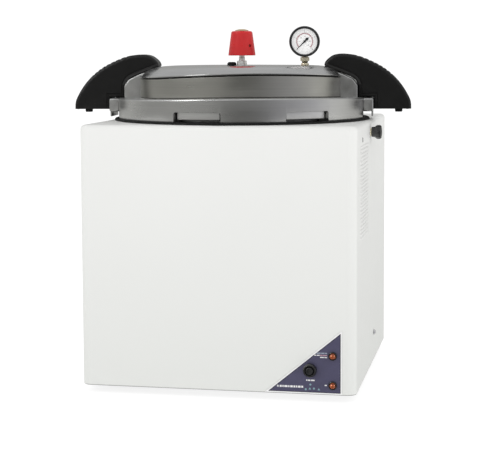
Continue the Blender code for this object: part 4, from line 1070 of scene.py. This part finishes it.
def make_bail():
    low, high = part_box("basket_bail")
    side = 0.1250
    half = [(0.1165, 0, 0), (side - 0.001, 0, 0), (side, 0.003, 0), (side - 0.001, 0.012, 0)]
    half += [(0.108, 0.050, 0), (0.098, 0.066, 0), (0.082, 0.078, 0), (0.050, 0.088, 0), (0.018, 0.092, 0)]
    points = smooth_line(half + [(-x, y, h) for x, y, h in reversed(half)])
    place = Matrix.Translation((0, 0, (low.z + high.z) / 2))
    finished("basket_bail", wire_mesh(points, 0.00195), place, angle=60)


def make_gasket():
    low, high = TOP + 0.0203, TOP + 0.0260
    profile = [(0.1475, high, 0.0006), (0.1485, high - 0.0012, 0.0006), (0.1485, low, 0.0008)]
    profile += [(0.1340, low, 0.0008), (0.1340, high, 0.0008)]
    finished("lid_gasket", turned(profile, 144, closed=True))


# ---------------------------------------------------------------- lid

CROWN, EDGE_R, EDGE_Z = 0.0735, 0.1415, 0.0570
RIM_R, NECK_R, WALL_R, DOME_POWER = 0.1385, 0.1366, 0.1400, 10
HOLLOW_R, HOLLOW_TOP, HOLLOW_Z = 0.128, CROWN - 0.006, EDGE_Z - 0.007
SHOULDER, SKIRT_R, SKIRT_IN, LUG_IN = 0.0300, 0.170, 0.165, 0.1525
EDGE_RISE, SHOULDER_RISE, RISE_TURN = 0.0071, 0.0034, math.radians(13)
SIDE_RISE, SIDE_RISE_X = 0.0008, 0.105
LID_BOTTOM, NOTCH_TOP, LUG_RING_H, NOTCH_ROUND = 0.0022, 0.0158, 0.0030, 0.0034
BOSS_LOW, BOSS_TOP, SCREW_X, PEG_X, PLUG_X = 0.0115, 0.0295, 0.1745, 0.2155, -0.0141
HIGH_BOSS = [(0.124, 0.029), (0.1598, 0.029), (0.1598, 0.0468), (0.1535, 0.0552), (0.1400, 0.0618)]
HIGH_BOSS += [(0.124, 0.0680)]
GAUGE = (0.087, 0.1062)
LID_FINISHES = (POLISHED, CAST, BAND, SKIRT, GROOVE_SHADE)


def dome(radius, edge_r=EDGE_R, crown=CROWN, edge=EDGE_Z):
    return edge + (crown - edge) * (1 - (radius / edge_r) ** DOME_POWER)


def hollow(radius):
    """The dome's underside."""
    return dome(radius, HOLLOW_R, HOLLOW_TOP, HOLLOW_Z)


def rise(x, y, z):
    """The dome's edge and the shoulder stand a little higher in front and behind than at the handles."""
    radius = math.hypot(x, y)
    band = SHOULDER + 0.002
    if radius < 0.02 or not (z > band or (z > 0.0268 and radius > 0.139)):
        return 0
    share = min(1, max(0, (z - band) / (EDGE_Z - 0.003 - band)))
    across = y * math.cos(RISE_TURN) - x * math.sin(RISE_TURN)
    past_boss = max(0, (across / radius) ** 2 - 0.05) / 0.95
    raised = (SHOULDER_RISE + (EDGE_RISE - SHOULDER_RISE) * share) * min(1, radius / EDGE_R) ** 6 * past_boss
    return raised + SIDE_RISE * share * (x / SIDE_RISE_X) ** 2


def finish_at(radius, z):
    """Which of the lid's finishes a face of the casting has."""
    # Painted shade: the groove under the dome's edge and a thin strip at the band's foot get the dark groove
    # finish.
    if 0.130 < radius < 0.1412 and EDGE_Z - 0.0023 < z < EDGE_Z - 0.0003:
        return GROOVE_SHADE
    if 0.139 < radius < 0.1403 and SHOULDER + 0.0006 < z < SHOULDER + 0.0014:
        return GROOVE_SHADE
    if 0.139 < radius < 0.1412 and SHOULDER + 0.0012 < z < EDGE_Z - 0.002:
        return BAND
    return SKIRT if z < SHOULDER + 0.0012 else POLISHED


def make_casting():
    """The lid's body. Its notches are shaped in the skirt, turn by turn."""
    half = math.radians(11)
    centres = [n - math.pi / 2 for n in NOTCHES]
    marks = [c + s * half for c in centres for s in (-1, 1)]
    steps = (0.0001, 0.0004, 0.0008, 0.0013, 0.0019, 0.0026, 0.0034, 0.0044)
    fine = [0.0] + [side * step / SKIRT_R for step in steps for side in (-1, 1)]
    crown = [(r, dome(r)) for r in np.linspace(0, 1, 30) ** 0.8 * RIM_R]
    inner = [(r, hollow(r)) for r in np.linspace(0.122, 0, 16)]
    rows = []
    for turn in turns_with(marks, fine, 240):
        depth = inside(turn, centres, half) * SKIRT_R
        notched = depth > -0.00002
        bottom, lug_in, lug_h = LID_BOTTOM, LUG_IN, LUG_RING_H
        if notched:
            s = min(max(depth, 0.0), NOTCH_ROUND)
            bottom = NOTCH_TOP - NOTCH_ROUND + math.sqrt(NOTCH_ROUND**2 - (NOTCH_ROUND - s) ** 2)
            lug_in, lug_h = SKIRT_IN - 0.0003, 0.0003
        edge = [(RIM_R, dome(RIM_R)), (EDGE_R, EDGE_Z + 0.0012, 0.0007), (EDGE_R, EDGE_Z - 0.0002, 0.0004)]
        edge += [(NECK_R, EDGE_Z - 0.0006, 0.0003), (NECK_R, EDGE_Z - 0.0018, 0.0004)]
        edge += [(WALL_R, EDGE_Z - 0.0022, 0.0005), (WALL_R, SHOULDER, 0.0016), (SKIRT_R, SHOULDER, 0.0022)]
        edge += [(SKIRT_R, bottom, 0.0006), (lug_in, bottom, 0.0006), (lug_in, bottom + lug_h, 0.0004)]
        edge += [(SKIRT_IN, bottom + lug_h, 0.0002), (SKIRT_IN, 0.0263, 0.0008), (HOLLOW_R, 0.0263, 0.0008)]
        edge += [(HOLLOW_R, 0.0460, 0.0020), (0.122, hollow(0.122))]
        profile = crown + soften(edge, 0.0004)[1:-1] + inner
        rows.append([round_axis(r, turn, z) for r, z in profile])
    mesh = skin(rows)
    for finish in LID_FINISHES:
        mesh.materials.append(finish)
    for face in mesh.polygons:
        x, y, z = face.center
        face.material_index = LID_FINISHES.index(finish_at(math.hypot(x, y), z))
    for vertex in mesh.vertices:
        vertex.co.z += rise(*vertex.co)
    return mesh


def make_lid():
    """The casting with the bosses that carry the handles."""
    lid = add("lid_finished", make_casting(), None, ON_LID)
    tools = []
    for side in (-1, 1):
        low = sided_block(side, (0.167, 0.1812), 0.030, (BOSS_LOW, BOSS_TOP), 0.0022, 5)
        high = outline_mesh([(side * x, z) for x, z in HIGH_BOSS], 0.060)
        high = lifted_out(bevelled(add("high", high, None), 0.0014, 5))
        lip = sided_block(side, (0.1786, 0.1808), 0.024, (0.0045, BOSS_LOW + 0.0035), 0.0008, 4)
        tools += [(low, HERE), (high, TURN_X), (lip, HERE)]
    for tool, _ in tools:
        tool.materials.clear()
        for finish in LID_FINISHES:
            tool.materials.append(finish)
        for face in tool.polygons:
            face.material_index = LID_FINISHES.index(CAST)
    combine(lid, "UNION", tools)
    cuts = []
    for side in (-1, 1):
        place = Matrix.Translation((side * SCREW_X, 0, BOSS_LOW - 0.002))
        cuts.append((cylinder(0.0039, 0.0065), place))
    for x, radius in ((0, 0.0046), (PLUG_X, 0.0038), (GAUGE[0], 0.0053)):
        cuts.append((cylinder(radius, 0.05), Matrix.Translation((x, 0, 0.045))))
    combine(lid, "DIFFERENCE", cuts)
    stand_for("lid", shade(lid, 32))


HANDLE_BOTTOM, HANDLE_HALF, HANDLE_ROUND = 0.0145, 0.017, 0.0048
SEAM_DEPTH, SEAM_START, SEAM_FADE = 0.0008, 228, 12
RIB_DEPTH, RIB_COUNT, RIB_CENTRE = 0.0007, 52, (0.170, 0.020)


def fin_outline():
    """The grip's outline, with its outward direction at every corner."""
    curve = [(0.2325, HANDLE_BOTTOM), (0.2302, 0.0290), (0.2155, 0.0520), (0.1940, 0.0710), (0.1650, 0.0850)]
    curve += [(0.1440, 0.0893), (0.1290, 0.0885), (0.1195, 0.0830), (0.1147, 0.0765), (0.1170, 0.0716)]
    curve += [(0.1360, 0.0642), (0.1540, 0.0560), (0.1600, 0.0470)]
    line = np.array(smooth_line(curve, 26) + [(0.1600, 0.0303), (0.1810, 0.0303), (0.1810, HANDLE_BOTTOM)])
    step = np.roll(line, -1, axis=0) - line
    step /= np.linalg.norm(step, axis=1)[:, None]
    after = np.stack([step[:, 1], -step[:, 0]], axis=1)
    before = np.roll(after, 1, axis=0)
    mitre = (after + before) / (1 + (after * before).sum(axis=1))[:, None]
    if ((line - line.mean(axis=0)) * mitre).sum() < 0:
        mitre = -mitre
    angle = np.arctan2(line[:, 1] - RIB_CENTRE[1], line[:, 0] - RIB_CENTRE[0])
    fade = np.clip((angle - 0.75) / 0.12, 0, 1) * np.clip((1.85 - angle) / 0.15, 0, 1)
    ribs = RIB_DEPTH * np.maximum(0, np.sin(angle * RIB_COUNT)) ** 2 * fade
    return line - mitre * ribs[:, None], mitre


def make_handle(name, side):
    """The fin-shaped grip: an outline with deeply rounded edges and shallow ribs over its back."""
    line, mitre = fin_outline()
    count = len(line)
    # inset, depth, dip of the seam
    rings = [(HANDLE_ROUND + 0.0014, HANDLE_HALF, 0), (HANDLE_ROUND + 0.0011, HANDLE_HALF, SEAM_DEPTH)]
    rings += [(HANDLE_ROUND + 0.0003, HANDLE_HALF, SEAM_DEPTH)]
    for k in range(9):
        a = math.pi / 2 * k / 8
        rings.append((HANDLE_ROUND * (1 - math.sin(a)), HANDLE_HALF - HANDLE_ROUND * (1 - math.cos(a)), 0))
    rings += [(inset, -depth, -dip) for inset, depth, dip in reversed(rings)]
    to_lid = np.clip((np.arange(count) - SEAM_START) / SEAM_FADE, 0, 1)
    points, faces = [], []
    for inset, depth, dip in rings:
        shrink = line - mitre * inset
        shrink[line[:, 1] <= HANDLE_BOTTOM + 0.00001, 1] = HANDLE_BOTTOM
        reach = np.linalg.norm(shrink[:, None, :] - line[None, :, :], axis=2).min(axis=1)
        folded = (reach < inset * 0.985) & (line[:, 1] > HANDLE_BOTTOM + 0.008)
        kept = np.flatnonzero(~folded)
        for k in np.flatnonzero(folded):
            shrink[k] = shrink[kept[np.abs(kept - k).argmin()]]
        points += [(side * x, share * dip - depth, z) for (x, z), share in zip(shrink, to_lid)]
    last = (len(rings) - 1) * count
    for first in range(0, last, count):
        faces += band_faces(first, first + count, count)
    faces += [tuple(range(count)), tuple(last + k for k in reversed(range(count)))]
    mesh = mesh_from(points, faces)
    mesh.materials.append(FINISHES["black_phenolic"])
    mesh.materials.append(PHENOLIC_EDGE)
    near_lid = line[to_lid > 0.5]
    for face in mesh.polygons:
        x, y, z = face.center
        reach = np.linalg.norm(near_lid - (side * x, z), axis=1).min()
        if abs(y) > HANDLE_HALF - HANDLE_ROUND and reach < HANDLE_ROUND:
            face.material_index = 1
    mesh.transform(ON_LID)
    stand_for(name, shade(add(f"{name}_finished", mesh, None), 32, weighted=True))


def make_handle_fixings(end, side):
    low, high = BOSS_LOW - 0.0002, BOSS_LOW + 0.0038
    screw = [(0, 0.044), (0.0025, 0.044), (0.0025, high), (0.0036, high, 0.0004), (0.0036, low, 0.0005)]
    screw += [(0.0022, low, 0.0002), (0.0019, low + 0.0012), (0, low + 0.0012)]
    peg = [(0, 0.0205), (0.0051, 0.0205), (0.0051, 0.0108, 0.0008), (0.0044, 0.0099, 0.0006), (0, 0.0099)]
    for kind, x, profile, cut in (("screw", SCREW_X, screw, 0.0002), ("peg", PEG_X, peg, 0.0003)):
        mesh = turned(profile, 48, cut)
        finished(f"handle_{kind}_{end}", mesh, ON_LID @ Matrix.Translation((side * x, 0, 0)))


# ---------------------------------------------------------------- fittings on the lid


def hexagon(radius, height, bore):
    """A nut: its corners are turned away above."""
    piece = add("nut", cylinder(radius, height, 6), None)
    flat, out = radius * math.cos(math.pi / 6) * 0.98, radius * 1.02
    cone = [(0, height + 0.001), (flat, height + 0.001), (flat, height), (out, height - 0.0012)]
    cone += [(out, -0.001), (0, -0.001)]
    combine(piece, "INTERSECT", [(lathe(cone), HERE)])
    combine(piece, "DIFFERENCE", [(cylinder(bore, height * 3), Matrix.Translation((0, 0, -height)))])
    return lifted_out(bevelled(piece, 0.00018, limit=40))


def make_regulator():
    flat = CROWN + GAP
    stem = [(0, 0.1020), (0.0018, 0.1020, 0.0003), (0.0040, 0.0985, 0.0008), (0.00425, 0.0970, 0.0004)]
    stem += [(0.00425, 0.0885, 0.0003), (0.0037, 0.0880, 0.0002), (0.0037, 0.0852, 0.0002)]
    stem += [(0.00425, 0.0847, 0.0003), (0.00425, 0.060, 0.0003), (0, 0.060)]
    finished("regulator_stem", turned(stem, 64), ON_LID, NICKEL)
    place = ON_LID @ Matrix.Translation((0, 0, flat)) @ Matrix.Rotation(0.35, 4, "Z")
    finished("regulator_nut", hexagon(0.0073, 0.0066, 0.00455), place, NICKEL, 25)
    bottom, top, foot_r, wall = 0.0875, 0.121, 0.0187, 0.0022
    cover = [(0.0033, top, 0.0003), (0.0128, top, 0.0010), (0.0146, top - 0.0016, 0.0012)]
    cover += [(foot_r - 0.00005, bottom + 0.0016, 0.0008), (foot_r, bottom, 0.0010)]
    cover += [(foot_r - wall, bottom, 0.0005), (0.0122, top - 0.0035, 0.0008), (0.0033, top - 0.0035)]
    mesh = turned(cover, 144, 0.0004, 5, closed=True)
    piece = add("regulator_cover_finished", mesh, FINISHES["red_plastic"], ON_LID)
    vent = facing((0.0090, -0.0085, 0.1008), (1.1, -1, 0))
    combine(piece, "DIFFERENCE", [(cylinder(0.0021, 0.010, 32), vent)])
    stand_for("regulator_cover", shade(piece, 35))
    seat = top + GAP
    cap = [(0, seat + 0.0024), (0.0040, seat + 0.0024, 0.0008), (0.0093, seat + 0.0008, 0.0006)]
    cap += [(0.0093, seat, 0.0003), (0.0030, seat), (0.0030, seat - 0.006), (0, seat - 0.006)]
    finished("regulator_cap", turned(cap), ON_LID)
    below = CROWN - 0.0067
    plug = [(0, flat + 0.0042), (0.0022, flat + 0.0042, 0.0004), (0.0028, flat + 0.0048, 0.0003)]
    plug += [(0.0046, flat + 0.0048, 0.0006), (0.0063, flat + 0.0030, 0.0007), (0.0063, flat, 0.0003)]
    plug += [(0.0035, flat), (0.0035, below), (0.0048, below, 0.0004), (0.0040, below - 0.003, 0.0006)]
    plug += [(0, below - 0.003)]
    finished("safety_plug", turned(plug, 64, 0.0002), ON_LID @ Matrix.Translation((PLUG_X, 0, 0)))


CASE_R, BEZEL_R, GLASS_R, DIAL_R, DIAL_TOP = 0.0200, 0.0210, 0.0175, 0.0180, 0.0048
SWEEP = (225.0, -45.0)
PRINT_H = 0.00006


def make_gauge():
    front = ON_LID @ Matrix.Translation((GAUGE[0], 0, GAUGE[1])) @ TURN_X
    case = [(0, -0.0110), (CASE_R - 0.0020, -0.0110), (CASE_R - 0.0015, 0.0085), (CASE_R, 0.0085, 0.0002)]
    case += [(CASE_R, -0.0110, 0.0018), (CASE_R - 0.0022, -0.0130, 0.0014), (0.0080, -0.0130, 0.0005)]
    case += [(0.0070, -0.0124, 0.0004), (0, -0.0124)]
    finished("gauge_case", turned(case, 128, 0.0003), front)
    bezel = [(GLASS_R, 0.0114, 0.0003), (GLASS_R + 0.0014, 0.0125, 0.0006), (CASE_R, 0.0125, 0.0010)]
    bezel += [(BEZEL_R, 0.0112, 0.0008), (BEZEL_R, 0.0045, 0.0006), (CASE_R + GAP, 0.0045)]
    bezel += [(CASE_R + GAP, 0.0088), (GLASS_R, 0.0088, 0.0002)]
    finished("gauge_bezel", turned(bezel, 144, 0.0002, closed=True), front)
    dial = [(0.0010, DIAL_TOP), (DIAL_R, DIAL_TOP, 0.0001), (DIAL_R, 0.0040), (0.0010, 0.0040)]
    finished("gauge_dial", turned(dial, 128, 0.0001, closed=True), front)
    lens_r = GLASS_R - 0.0002
    lens = [(0, 0.0113), (lens_r * 0.5, 0.0112, 0.002), (lens_r, 0.0107, 0.0004), (lens_r, 0.0099, 0.0002)]
    finished("gauge_lens", turned(lens + [(0, 0.0099)]), front)
    make_scale(front)
    make_needle(front)
    make_stem()


def make_needle(front):
    """The pointer, with a spade for its tail. It rests at the scale's lower left."""
    edge = [(0.0153, 0.0001), (0.0140, 0.00035), (0.0022, 0.00095), (0, 0.0013), (-0.0022, 0.0010)]
    edge += [(-0.0036, 0.0019), (-0.0052, 0.0021), (-0.0068, 0.0009)]
    outline = outline_mesh(edge + [(x, -y) for x, y in reversed(edge)], 0.0004)
    blade = lifted_out(bevelled(add("blade", outline, None), 0.0001))
    hub = [(0, 0.0080), (0.0012, 0.0079, 0.0003), (0.0018, 0.0074, 0.0002), (0.0018, 0.0064, 0.0001)]
    hub += [(0.0006, 0.0064), (0.0006, 0.0036), (0, 0.0036)]
    parts = [(blade, Matrix.Translation((0, 0, 0.0072))), (turned(hub, 48), HERE)]
    start = Matrix.Rotation(math.radians(SWEEP[0]), 4, "Z")
    finished("gauge_needle", joined(parts), front @ start, angle=30)


def make_scale(front):
    """Graduations, two arcs and plain numbers."""
    sunk, top = DIAL_TOP - 0.00002, DIAL_TOP + PRINT_H
    start, end = SWEEP

    def at(share):
        return start + (end - start) * share

    def tick(degrees, inner, outer, width):
        mesh = block((inner, -width / 2, sunk), (outer, width / 2, top))
        return mesh, Matrix.Rotation(math.radians(degrees), 4, "Z")

    def arc(inner, outer, steps=90):
        section = [(inner, sunk), (outer, sunk), (outer, top), (inner, top)]
        corners, faces = [], []
        for i in range(steps + 1):
            corners += [round_axis(r, math.radians(at(i / steps)), z) for r, z in section]
        for i in range(steps):
            faces += band_faces(4 * i, 4 * i + 4, 4)
        faces += [(0, 1, 2, 3), tuple(4 * steps + k for k in (3, 2, 1, 0))]
        return mesh_from(corners, faces), HERE

    def number(text, radius, degrees, size):
        curve = bpy.data.curves.new("number", "FONT")
        curve.body = text
        curve.size = size
        curve.align_x = curve.align_y = "CENTER"
        curve.extrude = PRINT_H / 2
        curve.resolution_u = 3
        place = round_axis(radius, math.radians(degrees), DIAL_TOP + PRINT_H / 2 - 0.00001)
        return mesh_of(curve), Matrix.Translation(place)

    black, red = [], [arc(0.0104, 0.0111), arc(0.0114, 0.0117)]
    for i in range(41):
        reach = 0.0132 if i % 10 == 0 else 0.0127 if i % 5 == 0 else 0.0123
        black.append(tick(at(i / 40), 0.0116, reach, 0.00044 if i % 10 == 0 else 0.00024))
    black += [number(str(i), 0.0150, at(i / 4), 0.0030) for i in range(5)]
    red += [tick(at(i / 30), 0.0088 if i % 5 == 0 else 0.0096, 0.0105, 0.00028) for i in range(31)]
    inner = [number(str(10 * i), 0.0070, at(i / 6), 0.0024) for i in range(7)]
    prints = {"scale": (black, INK_BLACK), "arcs": (red, INK_RED), "inner_numbers": (inner, INK_BLACK)}
    for name, (meshes, finish) in prints.items():
        detail(f"dial_{name}", joined(meshes), finish, "lid", "dial_white", front, 20)


def make_stem():
    """The gauge's square stem, with a tarnished waist above its foot."""
    foot = dome(GAUGE[0]) + 0.0008
    under = GAUGE[1] - BEZEL_R
    low, high, half = under - 0.0056, under - GAP, 0.006
    profile = [(0, high + 0.0030), (0.0042, high + 0.0030), (0.0042, low), (0.0046, low - 0.0006, 0.0003)]
    profile += [(0.0038, low - 0.0016, 0.0006), (0.0038, foot + 0.0028, 0.0005)]
    profile += [(0.0052, foot + 0.0024, 0.0004), (0.0056, foot + 0.0006, 0.0004), (0.0056, foot, 0.0003)]
    profile += [(0.0050, foot), (0.0050, 0.0575), (0, 0.0575)]
    place = ON_LID @ Matrix.Translation((GAUGE[0], 0, 0))
    piece = add("gauge_stem_finished", turned(profile, 72, 0.0002), FINISHES["brass"], place)
    combine(piece, "UNION", [(block((-half, -half, low), (half, half, high), 0.0009, 3), HERE)])
    piece.data.materials.append(TARNISH)
    for face in piece.data.polygons:
        if foot + 0.0026 < face.center.z < low - 0.0004:
            face.material_index = 1
    stand_for("gauge_stem", shade(piece, 35))
    place = place @ Matrix.Translation((0, 0, 0.0586))
    finished("gauge_nut", hexagon(0.0085, 0.0040, 0.0053), place, angle=25)


# ---------------------------------------------------------------- nodes that keep their CAD shape


def paint_the_rest():
    for name, node in frame["nodes"].items():
        if not node.hide_render:
            node.data.materials.clear()
            node.data.materials.append(FINISHES[SLOT_OF[name]])
            modified(node, "WELD", merge_threshold=0.000002)
            node.data.shade_smooth()
            modified(node, "EDGE_SPLIT", split_angle=math.radians(35))


# ---------------------------------------------------------------- studio


def make_floor():
    bm = bmesh.new()
    bmesh.ops.create_grid(bm, x_segments=1, y_segments=1, size=20)
    glow = {"Emission_Color": (1, 1, 1, 1), "Emission_Strength": 0.82}
    paper = Finish("studio_paper", (0.34, 0.34, 0.34), 0.9, Specular_IOR_Level=0.0, **glow)
    floor = add("floor", mesh_of_bm(bm), paper.grain(300, 2, 0.00002).made)
    floor.visible_glossy = False


def make_world():
    """White surroundings, with the greys of a studio for polished metal to mirror."""
    world = bpy.data.worlds.new("studio")
    bpy.context.scene.world = world
    world.use_nodes = True
    sky = Nodes(world.node_tree)
    plain = sky.tree.nodes["Background"]
    seen, mirrored = sky.node("ShaderNodeBackground"), sky.node("ShaderNodeBackground")
    for shader, strength in ((plain, 0.83), (seen, 1.05)):
        shader.inputs["Color"].default_value = (1, 1, 1, 1)
        shader.inputs["Strength"].default_value = strength
    direction = sky.node("ShaderNodeTexCoord").outputs["Generated"]
    x, y, z = sky.axes(direction)
    turn = sky.maths("ARCTAN2", x, sky.maths("MULTIPLY", y, -1.0))
    ramp = sky.node("ShaderNodeValToRGB")
    sky.link(sky.maths("ADD", sky.maths("DIVIDE", turn, 2 * math.pi), 0.5), ramp.inputs[0])
    # degrees from the front, brightness
    ring = [(-180, 0.36), (-155, 0.40), (-125, 0.62), (-95, 0.42), (-80, 0.36), (-45, 0.42), (-14, 0.37)]
    ring += [(0, 0.15), (30, 0.14), (42, 0.34), (66, 0.42), (84, 0.56), (104, 0.90), (125, 0.60), (150, 0.50)]
    ring += [(180, 0.36)]
    while len(ramp.color_ramp.elements) < len(ring):
        ramp.color_ramp.elements.new(0.5)
    for element, (degrees, grey) in zip(ramp.color_ramp.elements, ring):
        element.position = degrees / 360 + 0.5
        element.color = (grey, grey, grey * (1.06 if 40 < degrees < 100 else 0.97), 1)
    ceiling = sky.span(z, 0.10, 0.60, smooth=True)
    overall = sky.mixed(ceiling, ramp.outputs["Color"], (0.60, 0.605, 0.61))
    sky.link(overall, mirrored.inputs["Color"])
    near = sky.node("ShaderNodeVectorMath", operation="DOT_PRODUCT")
    sky.link(direction, near.inputs[0])
    near.inputs[1].default_value = Vector((-0.62, -0.55, 0.56)).normalized()
    rim, core = math.cos(math.radians(14)), math.cos(math.radians(10))
    glint = sky.span(near.outputs["Value"], rim, core, 1.0, 9.0, smooth=True)
    sky.link(glint, mirrored.inputs["Strength"])
    path = sky.node("ShaderNodeLightPath")
    chosen = plain
    for kind, other in (("Is Glossy Ray", mirrored), ("Is Camera Ray", seen)):
        mix = sky.node("ShaderNodeMixShader")
        for socket, source in zip(mix.inputs, (path.outputs[kind], chosen.outputs[0], other.outputs[0])):
            sky.link(source, socket)
        chosen = mix
    sky.link(chosen.outputs[0], sky.tree.nodes["World Output"].inputs["Surface"])


def softbox(name, place, aim, size, power):
    lamp = bpy.data.lights.new(name, "AREA")
    lamp.shape = "RECTANGLE"
    lamp.size = lamp.size_y = size
    lamp.energy = power
    made = bpy.data.objects.new(name, lamp)
    bpy.context.scene.collection.objects.link(made)
    made.location = place
    made.rotation_euler = (Vector(aim) - Vector(place)).to_track_quat("-Z", "Y").to_euler()
    made.visible_glossy = False


CAMERA_AT = (0.3815, -1.917, 0.4456)
CAMERA_TURN, CAMERA_DIP, CAMERA_TILT = math.radians(11.4), math.radians(5.15), math.radians(-0.3)


def make_camera():
    lens = bpy.data.cameras.new("camera")
    lens.lens = 106.2
    lens.sensor_width = 36
    lens.shift_y = -0.1
    camera = bpy.data.objects.new("camera", lens)
    bpy.context.scene.collection.objects.link(camera)
    level = math.cos(CAMERA_DIP)
    line = Vector((-math.sin(CAMERA_TURN) * level, math.cos(CAMERA_TURN) * level, -math.sin(CAMERA_DIP)))
    aim = line.to_track_quat("-Z", "Y").to_matrix().to_4x4()
    camera.matrix_world = Matrix.Translation(CAMERA_AT) @ aim @ Matrix.Rotation(CAMERA_TILT, 4, "Z")
    bpy.context.scene.camera = camera


make_shell()
make_louvres()
make_side_insert()
make_screws()
make_feet()
make_trim()
panel_face = make_panel()
make_print(panel_face)
make_lamps(panel_face)
make_breaker(panel_face)
make_valve()
make_rear()
make_vessel()
make_basket()
make_bail()
make_gasket()
make_lid()
for end_name, end_side in (("left", -1), ("right", 1)):
    make_handle(f"handle_{end_name}", end_side)
    make_handle_fixings(end_name, end_side)
make_regulator()
make_gauge()
paint_the_rest()
make_floor()
make_world()
softbox("key", (-1.25, -1.55, 1.6), (-0.05, 0, 0.25), 1.3, 5.2)
softbox("fill", (2.6, -0.9, 1.3), (0, 0, 0.2), 1.6, 8.4)
make_camera()
bpy.context.scene.view_settings.view_transform = "Standard"
bpy.context.scene.view_settings.look = "None"
